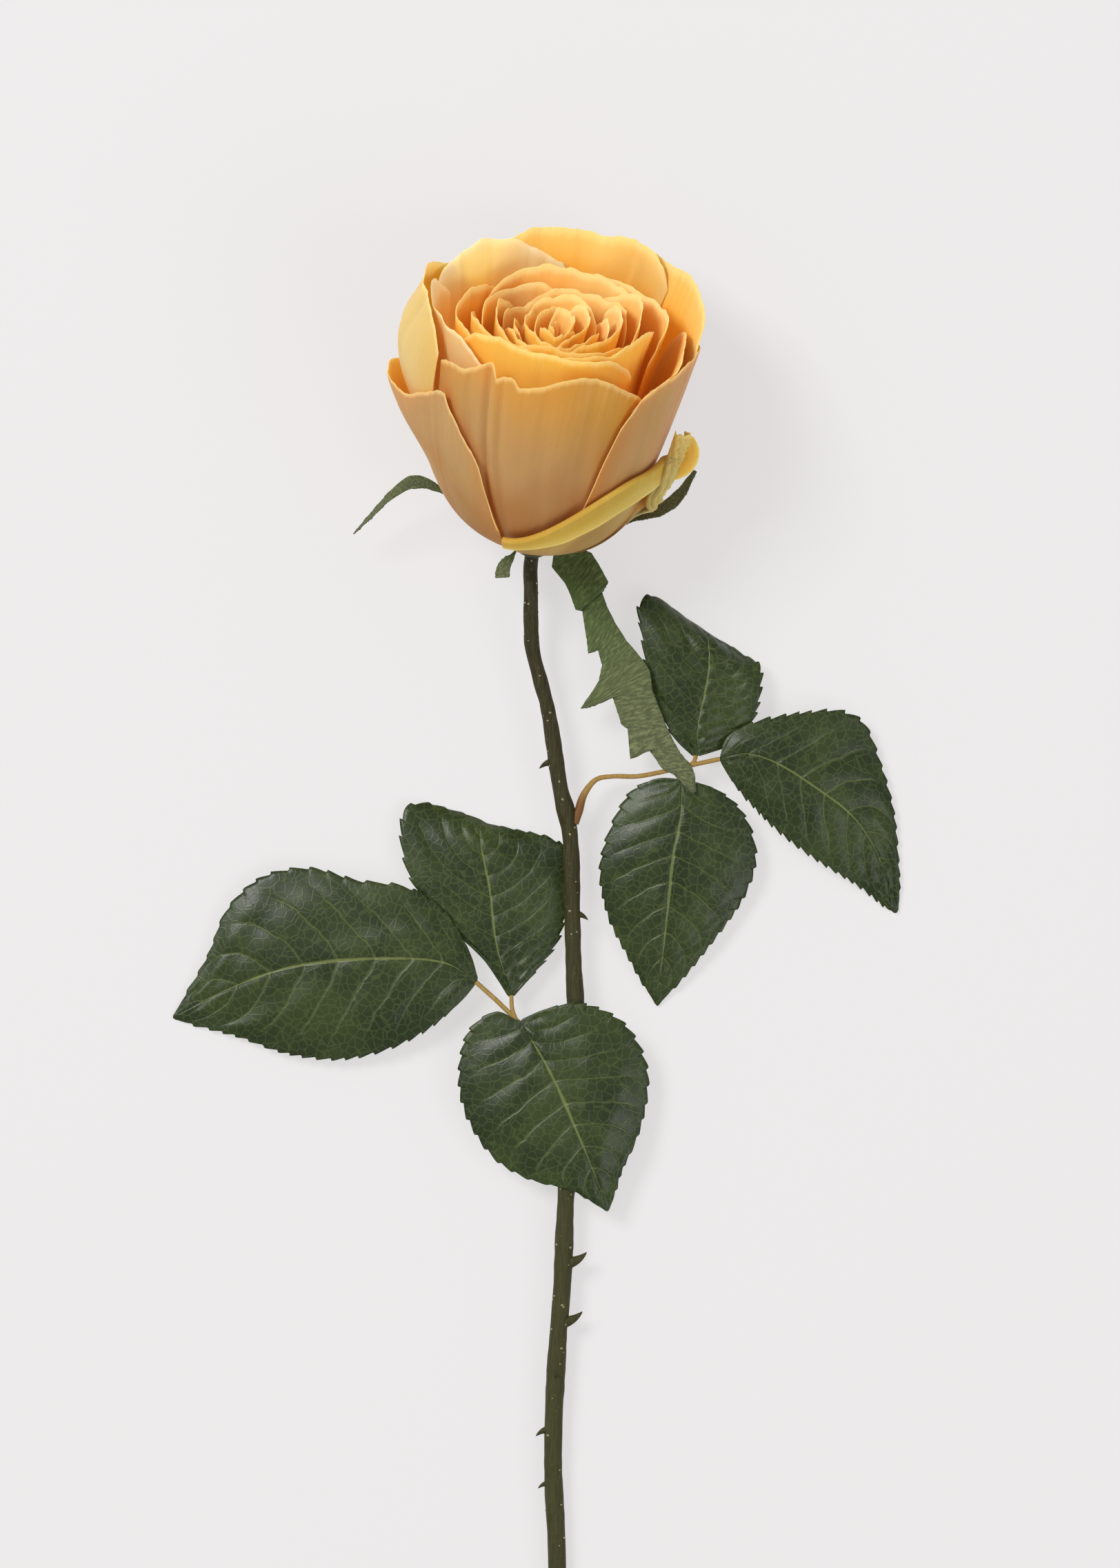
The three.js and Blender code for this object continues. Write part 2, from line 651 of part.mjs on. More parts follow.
// Sepals. x is how far a point lies beyond the calyx's side: in millimetres, or as a share of the
// cup's rim radius for the two that reach out beside the cup. z is measured from the bloom's base.
const SEPALS = {
  sepal_long: {
    side: 1,
    unit: 1,
    left: [
      [-0.5, -4.9, -3.6], [0.3, -9, -4.4], [4.2, -16.8, -2.6], [6.5, -21.5, -2.4], [9.1, -32.6, -3],
      [11.5, -40, -3.8],
      [15.5, -47.5, -4.6], [20.1, -56, -5.6], [25.1, -60, -6], [31.1, -65.4, -6], [37.7, -70.8, -6],
    ],
    middle: [
      [0.7, -4.3, -3.5], [4.6, -9, -4.2], [8.5, -16.6, -2], [11.6, -24.5, -1.9], [16.1, -33, -2.6],
      [20.6, -43, -3.6],
      [25.1, -52, -4.8], [31.6, -62, -5.8], [38.1, -70.8, -6],
    ],
    right: [
      [1.7, -3.6, -3.4], [8.3, -5.6, -3.6], [12.7, -10.6, -2.8], [13.1, -16.8, -2.4], [16.6, -25, -2.4],
      [22.1, -33.4, -3],
      [25.9, -42, -3.8], [29.1, -50, -4.8], [34.1, -60, -5.8], [38.6, -70.4, -6],
    ],
  },
  sepal_left: {
    side: -1,
    unit: CUP_RIM_RADIUS,
    left: [
      [-0.018, -3.9, -2.2], [-0.225, 2, -0.4], [-0.494, 11.2, 5.4], [-0.694, 12.6, 6.4],
      [-0.853, 9.4, 4.4], [-0.98, 4.8, 1],
      [-1.111, 0.2, -3],
    ],
    middle: [
      [-0.015, -2.8, -2], [-0.251, 3.2, 0], [-0.534, 13, 6.6], [-0.699, 14.3, 7.4], [-0.838, 11.2, 5],
      [-0.962, 6.5, 1.2],
      [-1.101, 0.7, -3],
    ],
    right: [
      [-0.013, -1.6, -1.8], [-0.271, 4.2, 0.4], [-0.575, 14.8, 7.4], [-0.701, 16, 8.2], [-0.823, 13, 5.6],
      [-0.944, 8, 1.6],
      [-1.091, 1.2, -3],
    ],
  },
  sepal_short: {
    side: -1,
    unit: 1,
    left: [[0.4, -5.6, -2.4], [-3.1, -7, -1.4], [-4.5, -9.6, -1.4], [-4.9, -11.9, -2]],
    middle: [[0.7, -4.7, -2], [-1.5, -6.6, -0.8], [-2.7, -9.4, -0.8], [-3, -11.8, -1.4]],
    right: [[1, -3.9, -1.8], [0.2, -6.4, -0.4], [-0.9, -9.4, -0.4], [-1.1, -11.7, -1]],
  },
  sepal_right: {
    side: 1,
    unit: CUP_RIM_RADIUS,
    left: [
      [0, -1.7, -4], [0.256, 2.2, -4], [0.509, 6.2, 3], [0.701, 8, 7.4], [0.828, 11.4, 8.6],
      [0.959, 17.4, 9.6],
    ],
    middle: [
      [0.005, -2.7, -3.6], [0.266, 1, -2.8], [0.524, 4.8, 4.4], [0.722, 6.6, 8.4], [0.848, 10, 9.2],
      [0.967, 17.3, 9.8],
    ],
    right: [
      [0.01, -3.7, -3.2], [0.271, -0.4, -1.4], [0.534, 3.4, 5.6], [0.742, 5.2, 9.4], [0.868, 8.8, 10],
      [0.977, 17, 10],
    ],
  },
};

for (const [name, { side, unit, ...blade }] of Object.entries(SEPALS)) {
  const seated = ([x, y, z]) => [side * CALYX_RADIUS + unit * x, y, z + BASE_HEIGHT];
  const lines = Object.fromEntries(Object.entries(blade).map(([line, points]) => [line, points.map(seated)]));
  place(rose, name, sheet(bladePoint(lines), 3, 12, SEPAL_THICKNESS), finish(COLORS.sepal, 0.8));
}

// The fifth sepal lies against the back of the bloom and ends before the petals reach the surface.
const BACK_SEPAL_SHARE = 0.13; // how far up the cup it goes
function backSepalPoint(u, v) {
  const { radius, height } = cupPoint(0.03 + BACK_SEPAL_SHARE * v, mix(1, 0.93, v));
  const angle = radians(96 + u * mix(15, 4, v));
  const r = radius + mix(0.9, 0.5, v);
  return new THREE.Vector3(r * Math.cos(angle), r * Math.sin(angle), height - mix(1.6, 1, v));
}
place(bloom, "sepal_back", sheet(backSepalPoint, 4, 6, SEPAL_THICKNESS), finish(COLORS.sepal, 0.8));

// ---- Leaf stalks ----

function twig(points, startRadius, endRadius) {
  const radiusAt = (share) => mix(startRadius, endRadius, smooth(share, 0, 0.35));
  return bar(curveThrough(points), radiusAt, 2 * points.length, 8);
}

// The upper leaf's stalk starts beside the stem's node, with a thickened foot.
const upperStart = stemCurve.getPointAt(stemShareAt(-76));
const upperFoot = upperStart.x + stemRadius(stemShareAt(-76)) + GAP + 2 * STALK_RADIUS;
const upperStalk = joined([
  twig(
    [
      [upperFoot, -78.2, 7.6], [upperFoot + 0.2, -75, 7.5], [upperFoot + 1, -71.6, 7.3], [17, -67.6, 7],
      [21.5, -66.7, 6.8],
      [28, -66.7, 6.7], [34, -65.7, 6.7], [41, -64.1, 6.8], [46, -63, 7.1], [50.6, -62, 7.7],
    ],
    2 * STALK_RADIUS,
    STALK_RADIUS,
  ),
  twig([[42, -63.9, 6.8], [43.8, -62.9, 7], [44.5, -61.5, 7.2]], STALK_RADIUS, 0.9 * STALK_RADIUS),
  twig([[38.6, -64.6, 6.8], [40.1, -65.4, 6.9], [40.6, -66.9, 7.1]], STALK_RADIUS, 0.9 * STALK_RADIUS),
]);
place(rose, "upper_leaf_stalk", upperStalk, finish(COLORS.stalk, 0.7));

const lowerStart = stemCurve.getPointAt(stemShareAt(-143.5));
const lowerFoot = lowerStart.x - stemRadius(stemShareAt(-143.5)) - GAP - 1.4 * STALK_RADIUS;
const lowerStalk = joined([
  twig(
    [
      [lowerFoot, -144.4, 6.2], [lowerFoot - 2, -142, 6.4], [0, -138.6, 6.6], [-5.7, -133.2, 6.8],
      [-10, -129, 6.8], [-15.7, -123.7, 6.8],
    ],
    1.7 * STALK_RADIUS,
    STALK_RADIUS,
  ),
  twig([[-5.4, -133.4, 6.8], [-6.2, -130.6, 6.3], [-6.4, -127.8, 5.8]], STALK_RADIUS, 0.9 * STALK_RADIUS),
  twig([[-3.4, -135.4, 6.7], [-4.6, -134.8, 7.6], [-4.6, -134.6, 7.9]], STALK_RADIUS, 0.9 * STALK_RADIUS),
]);
place(rose, "lower_leaf_stalk", lowerStalk, finish(COLORS.stalk, 0.7));

// ---- Frame: the origin is the middle of the box's bottom face ----

rose.updateMatrixWorld(true);
const box = new THREE.Box3().setFromObject(rose, true);
const centre = box.getCenter(new THREE.Vector3());
rose.position.set(-centre.x, -centre.y, -box.min.z);
rose.updateMatrixWorld(true);

export default rose;
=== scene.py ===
import math

import bpy
import numpy as np
from mathutils import Matrix, Vector


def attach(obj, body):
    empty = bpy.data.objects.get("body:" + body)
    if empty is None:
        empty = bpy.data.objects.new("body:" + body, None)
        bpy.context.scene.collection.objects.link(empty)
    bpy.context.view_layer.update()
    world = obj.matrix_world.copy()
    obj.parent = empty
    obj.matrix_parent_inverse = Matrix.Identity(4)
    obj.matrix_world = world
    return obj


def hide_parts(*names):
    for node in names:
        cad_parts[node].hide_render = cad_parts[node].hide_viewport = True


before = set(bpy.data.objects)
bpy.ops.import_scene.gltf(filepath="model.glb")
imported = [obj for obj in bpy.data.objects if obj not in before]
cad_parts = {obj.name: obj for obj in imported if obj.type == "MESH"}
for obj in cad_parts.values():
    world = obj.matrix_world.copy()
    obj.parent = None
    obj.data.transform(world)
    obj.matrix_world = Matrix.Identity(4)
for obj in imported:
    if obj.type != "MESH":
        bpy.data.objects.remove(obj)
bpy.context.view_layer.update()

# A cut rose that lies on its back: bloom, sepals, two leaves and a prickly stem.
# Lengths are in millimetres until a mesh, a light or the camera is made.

MM = 0.001


# ---- Small maths ----

def mix(a, b, share):
    return a + (b - a) * share


def smooth(x, low, high):
    share = np.clip((x - low) / (high - low), 0, 1)
    return share * share * (3 - 2 * share)


def ripples(x, seed, waves, base=1.0):
    """A smooth random line over x, within about -1 to 1."""
    dice = np.random.default_rng(seed)
    total = np.zeros_like(x, dtype=float)
    for k in range(1, waves + 1):
        height = dice.uniform(0.5, 1) / k
        start = dice.uniform(0, 2 * math.pi)
        total = total + height * np.sin(base * k * math.pi * x + start)
    return total / 1.4


def unit(vectors):
    """Vectors along the last axis, brought to length 1."""
    return vectors / (np.linalg.norm(vectors, axis=-1, keepdims=True) + 1e-12)


def grid(across, along, low=-1.0):
    """u from low to 1 across a sheet, and v from 0 to 1 along it."""
    u = np.linspace(low, 1, across)[:, None] * np.ones((1, along))
    v = np.ones((across, 1)) * np.linspace(0, 1, along)[None, :]
    return u, v


def curve_points(points, count):
    """A centripetal Catmull-Rom curve through points, sampled evenly along its length."""
    p = np.asarray(points, dtype=float)
    p = np.vstack([2 * p[0] - p[1], p, 2 * p[-1] - p[-2]])
    samples = []
    for k in range(1, len(p) - 2):
        a, b, c, d = p[k - 1:k + 3]
        gaps = [max(np.sqrt(np.linalg.norm(q - o)), 1e-6) for o, q in ((a, b), (b, c), (c, d))]
        start = (b - a) / gaps[0] - (c - a) / (gaps[0] + gaps[1]) + (c - b) / gaps[1]
        end = (c - b) / gaps[1] - (d - b) / (gaps[1] + gaps[2]) + (d - c) / gaps[2]
        start, end = start * gaps[1], end * gaps[1]
        t = np.linspace(0, 1, 40, endpoint=k == len(p) - 3)[:, None]
        samples.append(
            b + start * t + (3 * (c - b) - 2 * start - end) * t**2 + (2 * (b - c) + start + end) * t**3
        )
    dense = np.vstack(samples)
    steps = np.r_[0, np.cumsum(np.linalg.norm(np.diff(dense, axis=0), axis=1))]
    at = np.linspace(0, steps[-1], count)
    return np.stack([np.interp(at, steps, dense[:, axis]) for axis in range(3)], axis=1)


# ---- Where the bloom's base lies ----

CALYX_DEPTH = 6.0
RECEPTACLE_LIFT = 11.0
GAP = 0.35
HEAD_TILT = math.radians(30)
HEAD_LEAN = math.radians(7)
AXIS = np.array([
    math.sin(HEAD_LEAN) * math.cos(HEAD_TILT),
    math.cos(HEAD_LEAN) * math.cos(HEAD_TILT),
    math.sin(HEAD_TILT),
])
SIDEWAYS = np.array([math.cos(HEAD_LEAN), -math.sin(HEAD_LEAN), 0.0])
DOWNWARDS = np.cross(AXIS, SIDEWAYS)

# The receptacle is a lathed body, so the mean of its corners lies on the bloom's axis.
LATHE_SEGMENTS = 24
RING_HEIGHTS = [-1.0 * CALYX_DEPTH, -0.66 * CALYX_DEPTH, -0.37 * CALYX_DEPTH, -0.15 * CALYX_DEPTH, -GAP]
POLE_HEIGHTS = [-CALYX_DEPTH, RECEPTACLE_LIFT - 4 * GAP]
corner_count = LATHE_SEGMENTS * len(RING_HEIGHTS) + len(POLE_HEIGHTS)
mean_height = (LATHE_SEGMENTS * sum(RING_HEIGHTS) + sum(POLE_HEIGHTS)) / corner_count
corners = np.array([v.co[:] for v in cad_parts["receptacle"].data.vertices])
corners = np.unique(np.round(corners, 5), axis=0) / MM
BASE = corners.mean(axis=0) - mean_height * AXIS


def in_row_frame(points):
    """Points measured from the bloom's base in x and y, and from the surface in z."""
    return points + np.array([BASE[0], BASE[1], 0.0])


def from_bloom(x, y, z):
    """Points in the bloom's own frame: right side, surface side, axis."""
    return (
        BASE
        + x[..., None] * SIDEWAYS
        + y[..., None] * DOWNWARDS
        + z[..., None] * AXIS
    )


# ---- Materials ----

class Signal:
    """A number in a material's node tree. Arithmetic on signals adds nodes to the tree."""

    def __init__(self, finish, socket):
        self.finish = finish
        self.socket = socket

    def maths(self, operation, *values):
        return self.finish.add("ShaderNodeMath", {"operation": operation}, dict(enumerate(values)))

    def __add__(self, other):
        return self.maths("ADD", self, other)

    def __radd__(self, other):
        return self.maths("ADD", other, self)

    def __sub__(self, other):
        return self.maths("SUBTRACT", self, other)

    def __rsub__(self, other):
        return self.maths("SUBTRACT", other, self)

    def __mul__(self, other):
        return self.maths("MULTIPLY", self, other)

    def __rmul__(self, other):
        return self.maths("MULTIPLY", other, self)

    def __pow__(self, other):
        return self.maths("POWER", self, other)

    def __rpow__(self, other):
        return self.maths("POWER", other, self)

    def size(self):
        """The value without its sign."""
        return self.maths("ABSOLUTE", self)

    def part(self):
        """What is left after the whole number."""
        return self.maths("FRACT", self)

    def rise(self, low, high):
        """0 below low, 1 above high, smooth between."""
        values = {"Value": self, "From Min": low, "From Max": high, "To Min": 0.0, "To Max": 1.0}
        return self.finish.add("ShaderNodeMapRange", {"interpolation_type": "SMOOTHSTEP"}, values)


class Finish:
    """A material under construction."""

    def __init__(self, name, roughness, sheen=0.0, specular=0.35):
        self.material = bpy.data.materials.new(name)
        self.material.use_nodes = True
        self.tree = self.material.node_tree
        self.tree.nodes.clear()
        output = self.tree.nodes.new("ShaderNodeOutputMaterial")
        self.principled = self.tree.nodes.new("ShaderNodeBsdfPrincipled")
        self.tree.links.new(self.principled.outputs[0], output.inputs["Surface"])
        self.principled.inputs["Roughness"].default_value = roughness
        self.principled.inputs["Sheen Weight"].default_value = sheen
        self.principled.inputs["Sheen Roughness"].default_value = 0.5
        self.principled.inputs["Specular IOR Level"].default_value = specular

    def let_light_through(self, weight, color, depth):
        self.principled.inputs["Subsurface Weight"].default_value = weight
        self.principled.inputs["Subsurface Radius"].default_value = color
        self.principled.inputs["Subsurface Scale"].default_value = depth

    def feed(self, socket, value):
        """Links a signal to a socket, or sets the socket to a plain value."""
        if isinstance(value, Signal):
            self.tree.links.new(value.socket, socket)
        elif isinstance(value, (tuple, list)) and socket.type == "RGBA":
            socket.default_value = (*value[:3], 1.0)
        else:
            socket.default_value = value

    def add(self, kind, settings, values, output=0):
        """Any node: its settings first, then its inputs by name or place. Returns one of its outputs."""
        node = self.tree.nodes.new(kind)
        for key, value in settings.items():
            setattr(node, key, value)
        for key, value in values.items():
            self.feed(node.inputs[key], value)
        return Signal(self, node.outputs[output])

    def blend(self, share, first, second):
        """The first colour at share 0, the second at share 1."""
        settings = {"data_type": "RGBA", "blend_type": "MIX"}
        return self.add("ShaderNodeMix", settings, {0: share, 6: first, 7: second}, 2)

    def attribute(self, name):
        return self.add("ShaderNodeAttribute", {"attribute_name": name}, {}, "Fac")

    def split(self, vector):
        """The three numbers of a vector."""
        node = self.tree.nodes.new("ShaderNodeSeparateXYZ")
        self.feed(node.inputs[0], vector)
        return [Signal(self, output) for output in node.outputs]

    def uv(self):
        """u across the sheet and v along it, from foot to rim or tip, both 0 to 1."""
        return self.split(self.add("ShaderNodeUVMap", {"uv_map": "UVMap"}, {}))[:2]

    def place(self):
        """The point's place on the piece, in metres."""
        return self.add("ShaderNodeTexCoord", {}, {}, "Object")

    def vector(self, x, y, z):
        return self.add("ShaderNodeCombineXYZ", {}, {0: x, 1: y, 2: z})

    def noise(self, where, scale, detail=3.0, rough=0.55):
        values = {"Vector": where, "Scale": scale, "Detail": detail, "Roughness": rough}
        return self.add("ShaderNodeTexNoise", {}, values, "Fac")

    def paint(self, color, roughness=None, bump=None, strength=0.3, distance=0.3 * MM):
        """Feeds the surface's colour, roughness and relief, and returns the material."""
        self.feed(self.principled.inputs["Base Color"], color)
        if roughness is not None:
            self.feed(self.principled.inputs["Roughness"], roughness)
        if bump is not None:
            values = {"Height": bump, "Strength": strength, "Distance": distance}
            normal = self.add("ShaderNodeBump", {}, values)
            self.feed(self.principled.inputs["Normal"], normal)
        return self.material


BLUSH = (0.62, 0.26, 0.15)
ROLLED_EDGE = (0.96, 0.66, 0.26)


def petal_finish(name, buff, buff_light, lime, deep, gold, rim, painted_glow=0.1, rolled_edge=False):
    """Buff outside, golden inside, with streaks that fan out from the foot and a pale rim.

    On the outside, buff and buff_light are the ground, lime the green near the rim. On the inside
    the colour goes from deep at the foot to gold. glow sets a deep orange emission, weaker on the outside:
    painted light that stands in for light passing through the petal and lifts its shade."""
    m = Finish(name, roughness=0.6, specular=0.15)
    m.let_light_through(0.6, (1.0, 0.42, 0.1), 2.5 * MM)
    u, v = m.uv()
    outside = m.attribute("outside").rise(0.3, 0.7)
    tone = m.attribute("tone")
    streaks = m.noise(m.vector(u * 46.0, v * 1.6, tone * 19.0), 1.0, 5.0, 0.6)
    clouds = m.noise(m.vector(u * 2.6, v * 2.4, tone * 31.0), 1.0, 2.0)
    grain = m.noise(m.place(), 2600.0, 2.0)

    # The inner face: deep at the foot, gold above, a soft pale margin and a crisp paler edge. The margin is
    # the rim's own paler colour; the crisp edge is partly that colour and partly a painted highlight along
    # the edge.
    inside = m.blend((v + clouds * 0.25).rise(0.55, 1.08), deep, gold)
    inside = m.blend((v + clouds * 0.16 + streaks * 0.03).rise(0.93, 1.14) * 0.6, inside, rim)
    inside = m.blend((v + streaks * 0.02).rise(0.975, 1.0) * 0.6, inside, rim)

    # The outer face: clouded buff, green and blushed in places, and painted shade towards the sides, where
    # neighbouring petals overlap it: the buff there turns deeper and more orange.
    buffs = m.blend((v * 0.7 + clouds * 0.7 - 0.1).rise(0.25, 0.85), buff, buff_light)
    # Painted shade: both sides of the outer face turn towards deep, where the neighbouring petals overlap and
    # shade it.
    painted_side_shade = m.blend(0.55, buff, deep)
    buffs = m.blend(((u - 0.5) * 2.0).size().rise(0.45, 1.0) * 0.55, buffs, painted_side_shade)
    greened = m.attribute("green") * (v + clouds * 0.4 + u * 0.25).rise(0.95, 1.4)
    buffs = m.blend(greened, buffs, lime)
    # The crisp paler edge of the outer face: partly the rim's own paler colour, partly a painted highlight
    # along the edge.
    buffs = m.blend((v + streaks * 0.02).rise(0.985, 1.01) * 0.5, buffs, rim)
    blushed = m.attribute("blush") * (u + clouds * 0.2).rise(0.4, 0.65) * 0.5
    buffs = m.blend(blushed, buffs, BLUSH)

    color = m.blend(outside, inside, buffs)
    if rolled_edge:
        color = m.blend((u + clouds * 0.05).rise(0.66, 0.78) * 0.65, color, ROLLED_EDGE)
    shade = (streaks - 0.5) * 0.3 + (grain - 0.5) * 0.08 + (clouds - 0.5) * 0.42
    darker = m.blend(0.5, color, deep)
    lighter = m.blend(0.5, color, rim)
    color = m.blend((0.5 - shade).rise(0.5, 0.85), color, darker)
    color = m.blend((0.5 + shade).rise(0.5, 0.85), color, lighter)

    # Painted light: the petal emits deep orange, fully on its inside and at 0.4 on its outside, in place of
    # light passing through it into its shade.
    painted_light_color = m.blend(outside, deep, m.blend(0.6, deep, (0, 0, 0)))
    m.feed(m.principled.inputs["Emission Color"], painted_light_color)
    m.principled.inputs["Emission Strength"].default_value = painted_glow
    relief = streaks * 0.8 + grain * 0.2
    return m.paint(color, 0.55 + streaks * 0.15, relief, 0.35, 0.35 * MM)


# Side veins leave the midrib in pairs and curve towards the tip.
VEIN_PAIRS = 9.0
VEIN_SWEEP = 0.22
VEIN_BEND = 1.25


def leaf_finish():
    """Dark green with a pale midrib, curved side veins and a fine net between them."""
    m = Finish("leaf", roughness=0.45, specular=0.35)
    u, v = m.uv()
    upper = m.attribute("outside")
    off = (u * 2.0 - 1.0).size()
    wander = m.noise(m.place(), 160.0, 2.0)
    side = (v - VEIN_SWEEP * off**VEIN_BEND + (wander - 0.5) * 0.035) * VEIN_PAIRS
    line = ((side.part() - 0.5) * 2.0).size()
    veins = line.rise(0.86, 0.97) * (1.0 - off.rise(0.55, 0.95))
    midrib = 1.0 - (off + (wander - 0.5) * 0.03).rise(0.006, 0.036 - v * 0.022)
    values = {"Vector": m.place(), "Scale": 420.0}
    cells = m.add("ShaderNodeTexVoronoi", {"feature": "DISTANCE_TO_EDGE"}, values, "Distance")
    net = 1.0 - cells.rise(0.0, 0.09)
    patches = m.noise(m.place(), 75.0, 3.0)
    fibres = m.noise(m.place(), 1900.0, 3.0)
    green = m.blend(patches.rise(0.35, 0.7), (0.01, 0.021, 0.003), (0.026, 0.043, 0.007))
    green = m.blend(net * 0.3, green, (0.1, 0.13, 0.035))
    green = m.blend(veins * 0.3, green, (0.13, 0.16, 0.045))
    green = m.blend(midrib * 0.55, green, (0.2, 0.24, 0.07))
    under = m.blend(veins * 0.5 + midrib * 0.4, (0.12, 0.15, 0.085), (0.22, 0.25, 0.14))
    color = m.blend(upper.rise(0.3, 0.7), under, green)
    color = m.blend((fibres - 0.5).rise(-0.1, 0.3) * 0.15, color, (0.08, 0.11, 0.03))
    relief = (1.0 - veins * 0.7) * (1.0 - midrib * 0.8) + net * 0.12 + fibres * 0.12
    return m.paint(color, 0.26 + patches * 0.22, relief, 0.5, 0.3 * MM)


def sepal_finish():
    """Mid green, ribbed across like crepe, paler towards the tip, with painted shade in the rib hollows and
    painted highlights on the rib tops.
    """
    m = Finish("sepal", roughness=0.75, sheen=0.1)
    u, v = m.uv()
    stretch = m.attribute("length")
    ribs = m.noise(m.vector(u * 5.0, v * stretch * 1.5, 3.0), 1.0, 3.0, 0.65)
    weave = m.noise(m.vector(u * 60.0, v * stretch * 0.9, 8.0), 1.0, 2.0)
    patches = m.noise(m.place(), 120.0, 2.0)
    color = m.blend(v.rise(0.1, 0.8), (0.085, 0.13, 0.03), (0.15, 0.165, 0.075))
    # Painted shade and highlight: darker where the ribs' relief sinks, paler where it rises.
    color = m.blend(ribs.rise(0.4, 0.62), m.blend(0.6, color, (0.03, 0.045, 0.012)), color)
    color = m.blend(ribs.rise(0.55, 0.8) * 0.6, color, (0.25, 0.28, 0.13))
    color = m.blend((weave * patches).rise(0.3, 0.55) * 0.35, color, (0.2, 0.24, 0.1))
    return m.paint(color, 0.7 + ribs * 0.2, ribs + weave * 0.3, 0.7, 0.35 * MM)


JOINT_BROWN = (0.15, 0.055, 0.02)


def stem_finish(name, low_end, high_end, flecks, stripe=0.35, joints=()):
    """Olive bark that changes along the stem, with lengthwise fibres, and brown around each joint."""
    m = Finish(name, roughness=0.55, specular=0.2)
    where = m.place()
    x, y, z = m.split(where)
    fibres = m.noise(m.vector(x * 2400.0, y * 150.0, z * 2400.0), 1.0, 4.0, 0.6)
    patches = m.noise(where, 70.0, 3.0)
    spots = m.noise(where, 900.0, 2.0)
    color = m.blend((y * 5.0 + 0.45 + (patches - 0.5) * 0.5).rise(0.1, 0.95), low_end, high_end)
    color = m.blend((fibres - 0.5).rise(-0.12, 0.16) * stripe, color, flecks)
    color = m.blend(spots.rise(0.62, 0.72) * 0.5, color, flecks)
    for joint in joints:
        ends = {0: where, 1: tuple(joint)}
        away = m.add("ShaderNodeVectorMath", {"operation": "DISTANCE"}, ends, "Value")
        color = m.blend((1.0 - away.rise(3 * MM, 9 * MM)) * 0.85, color, JOINT_BROWN)
    return m.paint(color, 0.45 + fibres * 0.25, fibres + spots * 0.4, 0.5, 0.3 * MM)


def plain_green_finish(name, dark, light, scale):
    """Two greens, mottled finely and broadly."""
    m = Finish(name, roughness=0.7)
    fine = m.noise(m.place(), scale, 4.0)
    broad = m.noise(m.place(), scale * 0.16, 2.0)
    color = m.blend((fine * 0.6 + broad * 0.4).rise(0.38, 0.64), dark, light)
    return m.paint(color, 0.6 + fine * 0.2, fine, 0.6, 0.3 * MM)


GUARD = petal_finish(
    "guard_petal",
    buff=(0.33, 0.15, 0.042), buff_light=(0.5, 0.285, 0.115), lime=(0.5, 0.28, 0.04),
    deep=(0.66, 0.2, 0.02), gold=(0.82, 0.38, 0.06), rim=(0.97, 0.64, 0.28),
)
# A lighter copy of the guard finish for petal_left: partly the petal's own paler colour, partly painted light
# that lifts it out of the shade it lies in.
LIT_PALE = petal_finish(
    "pale_petal_lit",
    buff=(0.66, 0.36, 0.12), buff_light=(0.86, 0.53, 0.24), lime=(0.74, 0.46, 0.1),
    deep=(0.78, 0.27, 0.025), gold=(0.92, 0.5, 0.1), rim=(0.97, 0.72, 0.34),
)
# A lighter, creamier copy with a stronger emission, for the two back-left petals: painted light that takes
# away the shade they lie in behind the inner petals.
LIT_CREAM = petal_finish(
    "petal_cream",
    buff=(0.5, 0.3, 0.12), buff_light=(0.7, 0.46, 0.22), lime=(0.6, 0.4, 0.1),
    deep=(0.86, 0.42, 0.08), gold=(0.96, 0.6, 0.2), rim=(0.99, 0.78, 0.46), painted_glow=0.16,
)
LOW = petal_finish(
    "low_petal",
    buff=(0.36, 0.19, 0.065), buff_light=(0.66, 0.4, 0.11), lime=(0.62, 0.4, 0.08),
    deep=(0.48, 0.24, 0.035), gold=(0.64, 0.37, 0.06), rim=(0.9, 0.62, 0.2), painted_glow=0.03, rolled_edge=True,
)
INNER = petal_finish(
    "inner_petal",
    buff=(0.86, 0.37, 0.04), buff_light=(0.92, 0.46, 0.08), lime=(0.92, 0.5, 0.1),
    deep=(0.66, 0.18, 0.015), gold=(0.84, 0.4, 0.065), rim=(0.98, 0.68, 0.31), painted_glow=0.09,
)
LEAF = leaf_finish()
SEPAL = sepal_finish()
STEM = stem_finish("stem", (0.036, 0.035, 0.009), (0.024, 0.019, 0.006), (0.085, 0.078, 0.03))
# Where the leaf stalks leave the stem.
UPPER_JOINT = in_row_frame(np.array([12.5, -78.0, 7.6])) * MM
LOWER_JOINT = in_row_frame(np.array([8.0, -144.5, 6.2])) * MM
STALK = stem_finish(
    "leaf_stalk", (0.3, 0.2, 0.055), (0.3, 0.17, 0.04), (0.45, 0.34, 0.13), 0.3,
    (UPPER_JOINT, LOWER_JOINT),
)
CALYX = plain_green_finish("calyx", (0.03, 0.035, 0.014), (0.075, 0.08, 0.03), 900.0)
SPOT = plain_green_finish("stem_spot", (0.22, 0.2, 0.11), (0.34, 0.31, 0.18), 1500.0)


# ---- Meshes ----

def finish_piece(name, mesh, node, material=None):
    """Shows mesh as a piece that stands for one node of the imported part."""
    piece = bpy.data.objects.new(name, mesh)
    bpy.context.scene.collection.objects.link(piece)
    if material:
        mesh.materials.append(material)
    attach(piece, "root")
    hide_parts(node)
    return piece


# How far a sheet's rounded border stands out, as a share of its thickness.
BORDER_REACH = 0.4


def sheet_normals(middle):
    """The normals of a grid of points."""
    return unit(np.cross(np.gradient(middle, axis=0), np.gradient(middle, axis=1)))


